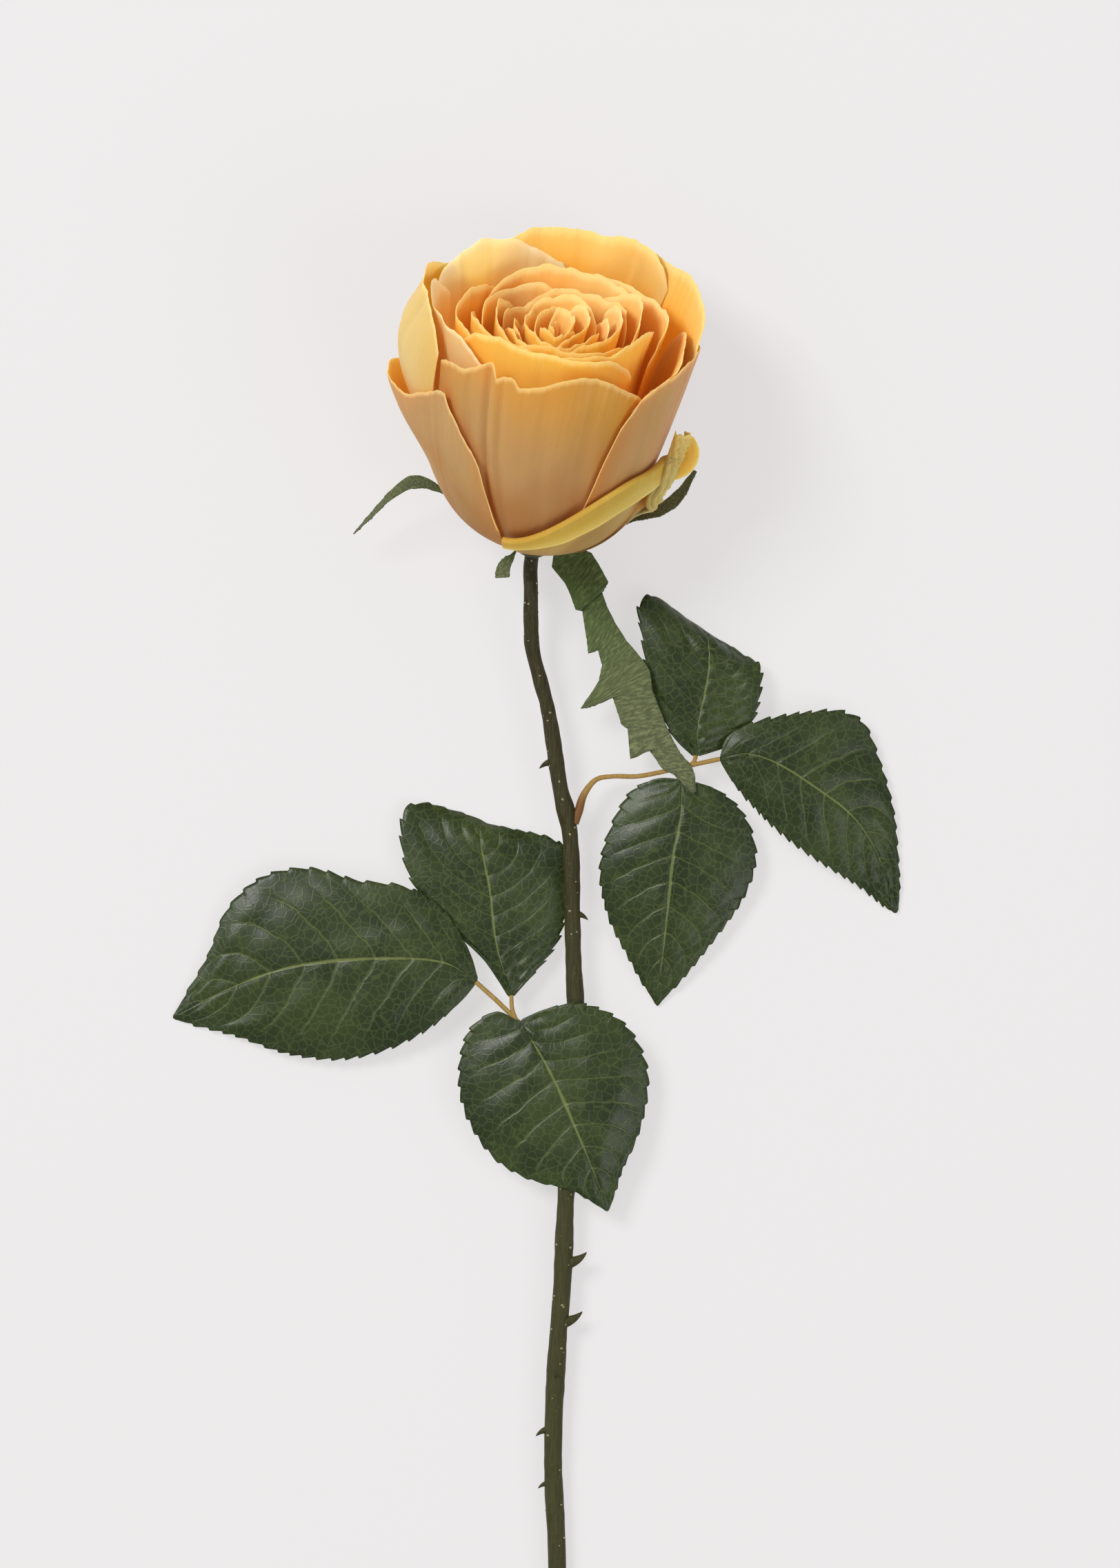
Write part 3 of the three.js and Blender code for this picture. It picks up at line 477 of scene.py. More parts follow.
def sheet_mesh(name, middle, thickness, extras, upper_is_outside=False):
    """A thin closed sheet around a grid of middle points, with UVs and point attributes.

    Its border is rounded by one more ring of points, half way through the thickness. The outside
    attribute is 1 on the grid's front, or on whichever face looks up, and 0 on the other."""
    across, along = middle.shape[:2]
    normal = sheet_normals(middle)
    front = middle + normal * thickness / 2
    back = middle - normal * thickness / 2

    index = np.arange(across * along).reshape(across, along)
    border = np.r_[index[:-1, 0], index[-1, :-1], index[:0:-1, -1], index[0, :0:-1]]
    beside = np.r_[index[:-1, 1], index[-2, :-1], index[:0:-1, -2], index[1, :0:-1]]
    flat = middle.reshape(-1, 3)
    ring = flat[border] + unit(flat[border] - flat[beside]) * thickness * BORDER_REACH

    count = across * along
    points = np.vstack([front.reshape(-1, 3), back.reshape(-1, 3), ring]) * MM
    a, b = index[:-1, :-1].ravel(), index[1:, :-1].ravel()
    c, d = index[1:, 1:].ravel(), index[:-1, 1:].ravel()
    here = np.arange(len(border))
    there = (here + 1) % len(border)
    ring = 2 * count
    faces = np.vstack([
        np.stack([a, b, c, d], axis=1),
        np.stack([a, d, c, b], axis=1) + count,
        np.stack([border[there], border[here], ring + here, ring + there], axis=1),
        np.stack([ring + there, ring + here, count + border[here], count + border[there]], axis=1),
    ])
    mesh = bpy.data.meshes.new(name)
    mesh.from_pydata(points.tolist(), [], faces.tolist())

    u, v = (side.ravel() for side in grid(across, along, 0.0))
    place = np.stack([np.r_[u, u, u[border]], np.r_[v, v, v[border]]], axis=1)
    corners_of = np.zeros(len(mesh.loops), dtype=np.int64)
    mesh.loops.foreach_get("vertex_index", corners_of)
    mesh.uv_layers.new(name="UVMap").data.foreach_set("uv", place[corners_of].ravel())

    facing = 1.0
    if upper_is_outside and normal[..., 2].mean() <= 0:
        facing = 0.0
    outside = np.r_[np.full(count, facing), np.full(count, 1 - facing), np.full(len(border), 0.5)]
    for key, value in {"outside": outside, **extras}.items():
        values = np.broadcast_to(np.asarray(value, dtype=float), (len(points),))
        attribute = mesh.attributes.new(key, "FLOAT", "POINT")
        attribute.data.foreach_set("value", values.astype(np.float32).copy())
    mesh.polygons.foreach_set("use_smooth", np.ones(len(mesh.polygons), dtype=bool))
    mesh.update()
    return mesh


# ---- Bloom ----

# Every petal stands on a cup. Its scale is 1 for the outermost and falls towards the heart.
CUP_BASE_RADIUS = 5.0
CUP_RIM_RADIUS = 39.5
CUP_HEIGHT = 85.0
CUP_ROUNDNESS = 2.6
CUP_SLENDERNESS = 1.7
CUP_SWAY = 1.6
PETAL_THICKNESS = 0.22
PETAL_FOOT = 20.0
INNER_PETALS = 24
INNER_SCALE = 0.77
HEART_SCALE = 0.06
GOLDEN_ANGLE = 137.508


def cup_share(height, scale):
    """The share of the way up the cup at which it reaches a height."""
    foot = RECEPTACLE_LIFT * (1 - scale)
    return np.power((height - foot) / (CUP_HEIGHT - foot), 1 / CUP_SLENDERNESS)


def cup_point(share, scale):
    """The cup's radius and height at a share of the way up."""
    share = np.maximum(share, 0)
    rise = (1 - np.exp(-CUP_ROUNDNESS * share)) / (1 - math.exp(-CUP_ROUNDNESS))
    foot = RECEPTACLE_LIFT * (1 - scale)
    radius = scale * (CUP_BASE_RADIUS + (CUP_RIM_RADIUS - CUP_BASE_RADIUS) * rise)
    return radius, foot + (CUP_HEIGHT - foot) * share**CUP_SLENDERNESS


def waviness(angle, share, scale):
    """How much wider or narrower the cup is than round."""
    broad = 0.02 * np.sin(3 * angle + 1.1 + 5 * scale)
    depth = mix(0.04, 0.014, float(smooth(np.array(scale), 0.7, 0.85)))
    folds = depth * np.sin(4 * angle + 9 * scale)
    return 1 + (broad + folds) * smooth(share, 0.25, 1)


def sway(height):
    """How far the bloom leans to its left between base and rim."""
    return -CUP_SWAY * np.sin(math.pi * np.clip(height / (0.8 * CUP_HEIGHT), 0, 1))


def line_through(table, u):
    """A number, or a line through (u, value) pairs."""
    if np.isscalar(table):
        return table
    places, values = zip(*table)
    return np.interp(u, places, values)


FRAYING = 0.28
CREASE_SLANT = 0.18


def petal_points(petal, across, along):
    """The middle surface of one petal."""
    u, v = grid(across, along)
    v = v**0.85
    seed = petal["seed"]
    facing_table = np.sin(np.radians(petal["azimuth"] + u * petal["half_width"]))
    rim = line_through(petal["rim"], u)
    rim = rim + petal["ragged"] * ripples(u, seed, 6, 1.5) + FRAYING * ripples(u, seed + 30, 9, 7.0)
    rim = rim + petal["lean"] * facing_table - petal["hide"] * smooth(facing_table, 0.1, 0.8)
    share = v * cup_share(rim, petal["scale"]) * (1 - petal["drop"] * np.abs(u) ** 4)
    spread = mix(PETAL_FOOT, petal["half_width"], smooth(v, 0, 0.6))
    angle = np.radians(petal["azimuth"] + u * spread)
    radius, height = cup_point(share, petal["scale"])

    outwards = line_through(petal["flare"], u) * smooth(v, petal["flare_from"], petal["flare_to"])
    outwards = outwards - line_through(petal["tuck"], u) * smooth(v, petal["tuck_from"], 1)
    outwards = outwards + petal["fold"] * ripples(u + 0.1 * v, seed + 50, 9, 2.2) * smooth(v, 0.2, 1)
    for at, depth, width in petal["creases"]:
        path = at + CREASE_SLANT * (1 - v)
        outwards = outwards - depth * np.exp(-(((u - path) / width) ** 2)) * smooth(v, 0.25, 0.8)
    lip = np.clip((v - petal["lip"]) / (1 - petal["lip"]), 0, 1)
    curl = line_through(petal["curl"], u) * (1 + 0.5 * ripples(u, seed + 90, 4, 1.2))
    outwards = outwards + curl * lip**1.6
    height = height - 0.35 * np.abs(curl) * lip**3

    r = radius * waviness(angle, share, petal["scale"]) + outwards
    return from_bloom(r * np.cos(angle) + sway(height), r * np.sin(angle), height)


# A petal's sizes, in degrees, mm and shares of its length; a table runs from its left side, u -1,
# to its right side, u 1.
#   azimuth, half_width  where it stands around the bloom (0 right, -90 away from the surface)
#   scale, rim           which cup it follows and how high its rim is
#   drop                 how much lower its corners are
#   flare, tuck          how far it bends out, and how far its rim bends in again above that
#   lean, hide           how its rim rises towards the surface's side, and is kept low there
#   fold, creases        soft waves, and creases as (u, depth, width)
#   curl, lip            how far its rim rolls out, from which share of its length
#   ragged               how uneven its rim is
#   green, blush         how green its outside turns near the rim, and how red at its right side
PLAIN_PETAL = {
    "drop": 0.16,
    "flare": 0.0, "flare_from": 0.62, "flare_to": 1.0,
    "tuck": 0.0, "tuck_from": 0.88,
    "lean": 0.0, "hide": 0.0,
    "fold": 0.28, "creases": (),
    "curl": 0.35, "lip": 0.9,
    "ragged": 0.5,
    "green": 0.2, "blush": 0.0,
}
GUARD_PETALS = {
    "petal_front_left": {
        "azimuth": -151, "half_width": 42, "scale": 0.985, "drop": 0.0,
        "ragged": 0.25, "green": 0.05, "curl": 0.5,
        "rim": [
            (-1, 44), (-0.93, 46.4), (-0.75, 48.5), (-0.57, 47.5), (-0.4, 45.6), (-0.25, 46), (-0.1, 48.5),
            (0.1, 51.8), (0.22, 53.6), (0.27, 54), (0.33, 51.5), (0.45, 47.6), (0.56, 44), (0.7, 40.4),
            (0.82, 36), (0.93, 25), (1, 15),
        ],
        "flare": [
            (-1, 4), (-0.75, 6.4), (-0.57, 7.8), (-0.4, 6), (-0.25, 3.8), (0, 1.2), (0.26, 0.2), (1, 0),
        ],
        "creases": [(0.3, -0.5, 0.1)],
    },
    "petal_right": {
        "azimuth": -15, "half_width": 50, "scale": 0.985, "drop": 0.0,
        "ragged": 0.2, "green": 0.3, "blush": 1.0,
        "flare": [(-1, 0), (-0.7, 0.2), (0, 1), (1, 1)],
        "rim": [
            (-1, 20), (-0.95, 29), (-0.89, 40.3), (-0.79, 52.9), (-0.65, 61), (-0.46, 64.4), (-0.2, 66.2),
            (0.05, 67), (0.3, 65), (0.6, 60), (0.85, 52), (1, 40),
        ],
        "creases": [(-0.55, 0.3, 0.08)],
    },
    "petal_back_right": {
        "azimuth": 34, "half_width": 46, "scale": 0.94, "drop": 0.05,
        "flare": 1.4, "flare_from": 0.88, "curl": 1.0, "blush": 1.0,
        "rim": [(-1, 62), (-0.7, 71), (-0.5, 74), (-0.2, 76), (0, 75.6), (0.24, 74.4), (0.6, 76), (1, 70)],
    },
    "petal_front": {
        "azimuth": -97, "half_width": 53, "scale": 0.945, "drop": 0.0,
        "ragged": 0.12, "green": 0.9, "curl": 0.2,
        "rim": [
            (-1, 60.6), (-0.93, 61.8), (-0.78, 62.4), (-0.66, 63.2), (-0.62, 64.4), (-0.56, 65.3),
            (-0.44, 68.6), (-0.4, 68.9), (-0.36, 68), (-0.33, 65.2), (-0.27, 66.2), (-0.2, 67.2),
            (-0.16, 66.8), (-0.12, 64.9), (-0.01, 66), (0.08, 66.4), (0.16, 68.6), (0.24, 69.9),
            (0.38, 70.4), (0.5, 69.6), (0.63, 67.4), (0.8, 64.2), (0.98, 60.2), (1, 59.5),
        ],
        "creases": [
            (-0.42, 1.6, 0.04), (-0.28, 1.1, 0.035), (-0.62, 0.8, 0.05), (0.12, 0.6, 0.06), (0.5, 0.7, 0.08),
        ],
    },
    "petal_left": {
        "azimuth": 172, "half_width": 38, "scale": 0.925, "drop": 0.02,
        "ragged": 0.25, "green": 0.4, "curl": -0.3,
        "flare": [(-1, 6), (0.3, 7.6), (0.6, 5), (1, 2.8)], "flare_from": 0.5, "flare_to": 0.86,
        "tuck": [(-1, 6), (-0.3, 5.4), (0.4, 5.6), (0.8, 2), (1, 0)], "tuck_from": 0.86,
        "rim": [(-1, 62), (-0.6, 71), (-0.1, 76), (0.15, 76.4), (0.5, 73.4), (0.8, 69.4), (1, 65)],
    },
    "petal_back": {
        "azimuth": 85, "half_width": 45, "scale": 0.91, "drop": 0.02,
        "ragged": 0.35, "curl": 1.2,
        "rim": [
            (-1, 71), (-0.9, 75.8), (-0.78, 78), (-0.55, 78.4), (-0.3, 77.2), (-0.19, 76.7), (0.05, 77.4),
            (0.49, 76.8), (0.67, 74.8), (1, 68),
        ],
        "creases": [(-0.62, 0.8, 0.05), (0.1, 0.4, 0.1)],
    },
    "petal_back_left": {
        "azimuth": 128, "half_width": 48, "scale": 0.87, "drop": 0.0,
        "ragged": 0.3, "curl": 1.5,
        "rim": [
            (-1, 60), (-0.83, 66), (-0.52, 70.5), (-0.29, 74.2), (-0.13, 75.2), (0.14, 76.6), (0.32, 74.6),
            (0.49, 73), (0.8, 70), (1, 64),
        ],
    },
    "petal_inner_right": {
        "azimuth": -12, "half_width": 42, "scale": 0.865, "rim": 67,
        "flare": 1.0, "ragged": 0.7, "lip": 0.84,
        "curl": [(-1, 0.4), (-0.85, 2.8), (-0.2, 2.8), (0.1, 1), (1, 1)],
    },
    "petal_inner_left": {
        "azimuth": -158, "half_width": 44, "scale": 0.845, "drop": 0.04,
        "ragged": 0.4, "lip": 0.86,
        "curl": [(-1, 0.6), (-0.6, 2.0), (0.2, 2.0), (0.7, 0.6), (1, 0.3)],
        "rim": [(-1, 70), (-0.7, 74.6), (-0.4, 72), (-0.1, 71.2), (0.3, 70), (0.6, 67), (1, 61)],
    },
}

# The outermost petal: folded outwards along its rim, its right side rolled up.
LOW_LEFT = -106.0
LOW_ROLL = -14.0
LOW_LEFT_HEIGHT = 12.0
LOW_RIGHT_HEIGHT = 33.0
LOW_BAND = 9.5
LOW_CLEARANCE = 1.4 * GAP
FOLD_RADIUS = 0.9
FOLD_TURN = math.radians(172)
OPEN_FOLD_TURN = math.radians(4)
SCROLL_RADIUS = 2.5
SCROLL_TURN = math.radians(330)
SCROLL_TILT = math.radians(8)
SCROLL_CLEARANCE = 1.3
SCROLL_SHARE = 0.4


def low_petal_points(across, along):
    """Along v the sheet goes up the cup to 0.5, around the fold to 0.75, and down as a band.

    Over the last SCROLL_SHARE of its width the fold opens and the sheet rolls up, away from the cup."""
    width, v = grid(across, along, 0.0)
    on_cup = np.minimum(width / (1 - SCROLL_SHARE), 1)
    rolled = np.maximum(width - (1 - SCROLL_SHARE), 0) / SCROLL_SHARE
    opened = smooth(rolled, 0, 0.3)
    climb = np.minimum(v / 0.5, 1)
    bend = np.clip((v - 0.5) / 0.25, 0, 1)
    hang = np.maximum(v - 0.75, 0) / 0.25

    fold_share = cup_share(mix(LOW_LEFT_HEIGHT, LOW_RIGHT_HEIGHT, smooth(on_cup, 0, 0.75)), 1)
    radius, height = cup_point(fold_share * climb, 1)
    before = cup_point(fold_share * 0.96, 1)
    at = cup_point(fold_share, 1)
    slope = np.arctan2(at[1] - before[1], at[0] - before[0])
    turn = mix(FOLD_TURN, OPEN_FOLD_TURN, opened)
    fold = FOLD_RADIUS * FOLD_TURN / turn
    heading = slope - bend * turn
    band = (LOW_BAND - FOLD_RADIUS * FOLD_TURN) * mix(0.35, 1, smooth(on_cup, 0, 0.5)) * hang
    band = band * (1 + 0.12 * ripples(width, 5, 7, 3.0))
    upright = heading + SCROLL_TILT * opened
    r = radius + LOW_CLEARANCE + SCROLL_CLEARANCE * opened * climb
    r = r + fold * (np.sin(slope) - np.sin(heading)) + band * np.cos(upright)
    h = height + fold * (np.cos(heading) - np.cos(slope)) + band * np.sin(upright)

    foot = mix(LOW_LEFT + 14, LOW_ROLL - 34, on_cup)
    angle = np.radians(mix(foot, mix(LOW_LEFT, LOW_ROLL, on_cup), smooth(v, 0.05, 0.45)))
    roll = SCROLL_TURN * rolled * smooth(v, 0.29, 0.4)
    knobs = ripples(v * 9 + width * 2, 11, 6, 2.0) + ripples(width * 14 - v * 3, 15, 5, 2.0)
    coil = SCROLL_RADIUS * mix(1, 0.7, rolled) + 0.42 * knobs * smooth(rolled, 0.05, 0.3)
    outwards = r + coil * (1 - np.cos(roll))
    sideways = coil * np.sin(roll)
    h = h + 0.5 * ripples(width * 6 + v, 12, 5, 2.0) * smooth(rolled, 0.1, 0.5)
    return from_bloom(
        outwards * np.cos(angle) - sideways * np.sin(angle) + sway(h),
        outwards * np.sin(angle) + sideways * np.cos(angle),
        h,
    )


def add_petal(name, points, tone, petal, material):
    """tone shifts the streaks, so that no two petals have the same ones."""
    extras = {"tone": tone, "green": petal["green"], "blush": petal["blush"]}
    mesh = sheet_mesh(name, points, PETAL_THICKNESS, extras)
    finish_piece("rose_" + name, mesh, name, material)


low_petal = {**PLAIN_PETAL, "green": 0.25}
add_petal("petal_low", low_petal_points(130, 90), 0.37, low_petal, LOW)
# These three petals get lighter finishes: painted light for the shade they lie in.
lit_petals = {"petal_left": LIT_PALE, "petal_back_left": LIT_CREAM, "petal_inner_left": LIT_CREAM}
for number, (name, sizes) in enumerate(GUARD_PETALS.items()):
    petal = {**PLAIN_PETAL, "seed": 10 + number, **sizes}
    material = lit_petals.get(name, GUARD)
    add_petal(name, petal_points(petal, 97, 61), 0.1 * number + 0.05, petal, material)

# How the inner rims run from the heart outwards: their height, how much higher they are towards the
# back of the bloom, and how much of the back is kept low so that the petal behind shows its face.
INNER_RIMS = {
    "scale": (0.06, 0.15, 0.24, 0.27, 0.30, 0.36, 0.40, 0.43, 0.47, 0.52, 0.62, 0.77),
    "rim": (67.5, 67.5, 68.6, 66.5, 66.5, 67.5, 68.5, 70.8, 69.5, 70.0, 71.0, 69.8),
    "lean": (1.0, 2.0, 3.0, 2.0, 2.0, 2.0, 2.5, 3.0, 2.0, 1.5, 0.5, -3.6),
    "hide": (0.0, 0.0, 0.0, 4.0, 7.0, 7.0, 5.0, 0.0, 4.0, 4.5, 0.0, 0.0),
    "curl": (0.25, 0.4, 0.9, 0.3, 0.3, 0.3, 0.3, 0.5, 0.3, 0.35, 0.45, 0.5),
}

for number in range(INNER_PETALS):
    inwards = number / (INNER_PETALS - 1)
    scale = mix(INNER_SCALE, HEART_SCALE, inwards)
    at_scale = {
        key: float(np.interp(scale, INNER_RIMS["scale"], values)) for key, values in INNER_RIMS.items()
    }
    petal = {
        **PLAIN_PETAL, **at_scale, "seed": 40 + number, "azimuth": -100 + GOLDEN_ANGLE * number,
        "half_width": mix(58, 105, inwards**1.6), "rim": at_scale["rim"] + 1.2 * math.sin(2.4 * number),
        "scale": scale, "drop": 0.08, "fold": mix(0.4, 0.12, inwards), "ragged": 0.9, "green": 0.0,
    }
    name = "inner_petal_%02d" % (number + 1)
    add_petal(name, petal_points(petal, 57, 41), (0.377 * number) % 1, petal, INNER)


# The receptacle: the calyx cup and the cone that the petals stand around, as (radius, height).
CALYX_PROFILE = [
    (0.0, -6.0), (1.6, -6.1), (2.5, -6.0), (3.2, -5.6), (4.2, -4.8), (5.2, -3.9), (5.7, -3.0), (5.85, -2.2),
    (5.6, -1.5), (5.0, -0.95), (4.4, -0.6), (3.9, -0.35), (2.6, 2.8), (1.3, 6.2), (0.4, 9.0), (0.0, 9.6),
]


def receptacle_mesh(segments=96):
    """The profile turned around the bloom's axis, with five faint lobes, closed by a pole at each end."""
    profile = curve_points([(r, h, 0) for r, h in CALYX_PROFILE], 70)[1:-1]
    turn = np.linspace(0, 2 * math.pi, segments, endpoint=False)[:, None]
    lobes = 1 + 0.05 * np.sin(5 * turn + 0.6) * smooth(-profile[None, :, 1], 0.5, 2.5)
    r = profile[None, :, 0] * lobes
    h = profile[None, :, 1] + 0 * turn
    rings = from_bloom(r * np.cos(turn), r * np.sin(turn), h).transpose(1, 0, 2)
    poles = from_bloom(np.zeros(2), np.zeros(2), np.array([CALYX_PROFILE[0][1], CALYX_PROFILE[-1][1]]))
    points = np.vstack([rings.reshape(-1, 3), poles])

    low_pole, high_pole = len(points) - 2, len(points) - 1
    last = low_pole - segments
    faces = []
    for start in range(0, last, segments):
        for j in range(segments):
            k = (j + 1) % segments
            faces.append([start + j, start + k, start + segments + k, start + segments + j])
    for j in range(segments):
        k = (j + 1) % segments
        faces.append([low_pole, k, j])
        faces.append([high_pole, last + j, last + k])
    mesh = bpy.data.meshes.new("receptacle")
    mesh.from_pydata((points * MM).tolist(), [], faces)
    mesh.polygons.foreach_set("use_smooth", np.ones(len(mesh.polygons), dtype=bool))
    return mesh


finish_piece("rose_receptacle", receptacle_mesh(), "receptacle", CALYX)


# ---- Blades: leaflets and sepals ----

LEAF_THICKNESS = 0.4
SEPAL_THICKNESS = 0.45

# Each leaflet: its left margin, midrib and right margin from foot to tip, as (x, y, z) with x and y
# from the bloom's base and z from the surface.
LEAFLETS = {
    "upper_leaflet_top": (
        [(43.6, -61, 7.3), (39.5, -57, 7.5), (35, -49, 7.6), (31.4, -38, 7.4), (30, -28, 6.8),
         (29, -20.5, 5.4), (31.8, -17.4, 4), (38, -20.4, 2), (45.6, -25.4, 0.6)],
        [(44.6, -60.8, 7.3), (45.3, -51.6, 7.8), (46.8, -44.6, 7.9), (48.1, -37, 7.6), (48, -30.5, 6.2),
         (47.6, -27.6, 3.4), (46.6, -26.2, 0.5)],
        [(45.6, -61, 7), (51, -59.2, 6.5), (58.6, -53.5, 6), (61.7, -43.4, 6.2), (61.6, -36.2, 4.8),
         (57, -32.8, 2.6), (47.6, -26.9, 0.5)],
    ),
    "upper_leaflet_end": (
        [(51.3, -60.8, 7.9), (53, -56, 7.9), (58, -53, 7.8), (65.5, -51, 7.2), (75, -49.6, 6),
         (84.6, -49.4, 4.9), (90.3, -52.3, 3.7), (95.6, -64, 2.7), (99, -77, 2), (100.4, -92, 1.3),
         (100.5, -103.4, 0.35)],
        [(51.3, -61.9, 7.9), (57.9, -60.4, 8.6), (65.5, -62.4, 8.7), (77, -69.4, 7.9),
         (88.4, -78.4, 5.4), (95.5, -90, 2.6), (100, -104.2, 0.4)],
        [(51.5, -63, 7.8), (54.8, -68, 7.3), (60.5, -74.4, 6.8), (65.5, -79.5, 6.4), (77, -88.4, 5),
         (90.3, -96.9, 2.6), (99.3, -104.3, 0.35)],
    ),
    "upper_leaflet_bottom": (
        [(39.6, -67.4, 7.2), (33.9, -67.4, 7), (27, -71, 6.6), (21.5, -80.7, 5.8), (18.6, -92, 5),
         (20.4, -104, 4.2), (26.5, -117, 3), (33.2, -129, 0.6)],
        [(40.6, -67.5, 7.3), (40.4, -77.6, 8.2), (38.4, -88, 8.4), (36.9, -102, 7), (35.4, -116, 4.4),
         (33.9, -130, 0.45)],
        [(41.6, -67.5, 7.2), (50.3, -70.6, 7), (57.4, -77.5, 6.4), (60.6, -88, 5.6), (57.4, -100, 4.8),
         (48, -113, 3.6), (34.6, -129.2, 0.6)],
    ),
    "lower_leaflet_left": (
        [(-16.6, -124.4, 6.7), (-20, -128.3, 6.5), (-29.5, -135.9, 6), (-40.9, -141.6, 5.2),
         (-54.2, -144.4, 4.3), (-69.4, -142.5, 3.2), (-82.7, -137.8, 1.9), (-99.2, -133.8, 0.35)],
        [(-16.2, -123.4, 6.8), (-24, -118.4, 7.8), (-40.9, -116.9, 8.3), (-67.5, -119.4, 6.4),
         (-85, -125.6, 3.2), (-99.8, -133.2, 0.4)],
        [(-15.7, -122.4, 6.7), (-18.1, -115, 7), (-25.7, -103.6, 6.9), (-35.2, -97.9, 6.4),
         (-48.5, -96, 5.8), (-61.8, -92.5, 5), (-75.1, -95, 4.1), (-84.6, -103.6, 3.1),
         (-90.3, -116.9, 2.1), (-99.4, -132.4, 0.35)],
    ),
    "lower_leaflet_top": (
        [(-7.2, -127.4, 5.6), (-14.3, -116.9, 5.4), (-25.7, -105.5, 4.8), (-33.3, -96, 4.2),
         (-36.5, -83.5, 3.4), (-35.2, -76, 2.6), (-30, -74.2, 1.6), (-15, -78.6, 0.5)],
        [(-6.4, -127.2, 5.6), (-10.5, -113.1, 5.6), (-12.4, -97.9, 5.2), (-15, -84, 4.2),
         (-15, -80.6, 2.4), (-14.2, -79.2, 0.5)],
        [(-5.6, -127.2, 5.6), (0, -120.7, 4.8), (6.4, -111, 3.7), (8.8, -98, 3.2), (8.4, -87.4, 2.9),
         (4, -84, 2.2), (-13.2, -79.8, 0.5)],
    ),
    "lower_leaflet_bottom": (
        [(-4.8, -134, 8.4), (-10.5, -131.7, 8.2), (-17.6, -137, 7.6), (-20.3, -149.2, 7),
         (-18.1, -160.6, 6.8), (-10.5, -172, 7.2), (-1, -177.7, 8), (10.5, -180.9, 8.6),
         (19.2, -186, 7)],
        [(-3.9, -134.2, 8.6), (4.8, -149.2, 10.6), (12.4, -166.3, 10.4), (18.1, -180.5, 8.4),
         (20, -186.6, 7)],
        [(-3.2, -133.6, 8.5), (2.9, -131.1, 9.2), (12.4, -129.8, 9.7), (23.8, -134.9, 9),
         (30.4, -146, 8), (30.8, -156, 7.6), (28, -166, 7.6), (23.8, -175.4, 7.6), (20.7, -186, 7)],
    ),
}


def blade_points(lines, across, along):
    """Cross sections are parabolas through the left margin, the midrib and the right margin."""
    left, middle, right = (curve_points(line, along)[None, :, :] for line in lines)
    u = np.linspace(-1, 1, across)[:, None, None]
    return left * (u * (u - 1) / 2) + middle * (1 - u * u) + right * (u * (u + 1) / 2)


def leaflet_points(lines, teeth, seed, across=49, along=181):
    """A blade with saw teeth, puckered between its side veins and creased along its midrib."""
    points = blade_points(lines, across, along)
    u, v = grid(across, along)
    normal = sheet_normals(points)
    if normal[..., 2].mean() < 0:
        normal = -normal

    # Saw teeth that lean towards the tip.
    dice = np.random.default_rng(seed)
    phase = v * teeth + 0.35 * ripples(v * 3, seed + 3, 4)
    saw = phase - np.floor(phase)
    tooth = np.where(saw < TOOTH_BACK, saw / TOOTH_BACK, (1 - saw) / (1 - TOOTH_BACK))
    ends = smooth(v, 0.05, 0.18) * (1 - smooth(v, 0.93, 1.0))
    reach = TOOTH_REACH * tooth * ends * dice.uniform(0.9, 1.1)
    outward = unit(points - points[across // 2][None, :, :])
    lengthwise = unit(np.gradient(points, axis=1))
    edge = smooth(np.abs(u), 0.86, 1.0)
    points = points + (outward * 0.8 + lengthwise * 0.7) * (edge * reach)[..., None]

    side = (v - VEIN_SWEEP * np.abs(u) ** VEIN_BEND) * VEIN_PAIRS
    quilt = np.abs(np.sin(math.pi * side)) ** 0.7 * (1 - smooth(np.abs(u), 0.7, 1.0))
    crease = np.exp(-((u / 0.035) ** 2))
    wave = 0.5 * ripples(v * 2, seed + 8, 4) * np.abs(u) ** 3
    wave = wave + 0.45 * ripples(v * 1.5 + 0.7 * u, seed + 9, 3, 2.0) * smooth(np.abs(u), 0, 0.4)
    fade = smooth(v, 0, 0.08) * (1 - smooth(v, 0.9, 1))
    relief = (0.3 * quilt - 0.28 * crease) * fade + wave * fade
    return points + normal * relief[..., None]


TOOTH_REACH = 1.15
TOOTH_BACK = 0.8
TEETH = {
    "lower_leaflet_left": 22,
    "upper_leaflet_end": 22,
    "upper_leaflet_top": 13,
    "lower_leaflet_top": 17,
}
USUAL_TEETH = 19

for number, (name, lines) in enumerate(LEAFLETS.items()):
    points = in_row_frame(leaflet_points(lines, TEETH.get(name, USUAL_TEETH), 100 + number))
    mesh = sheet_mesh(name, points, LEAF_THICKNESS, {"tone": 0.2 * number}, upper_is_outside=True)
    finish_piece("rose_" + name, mesh, name, LEAF)

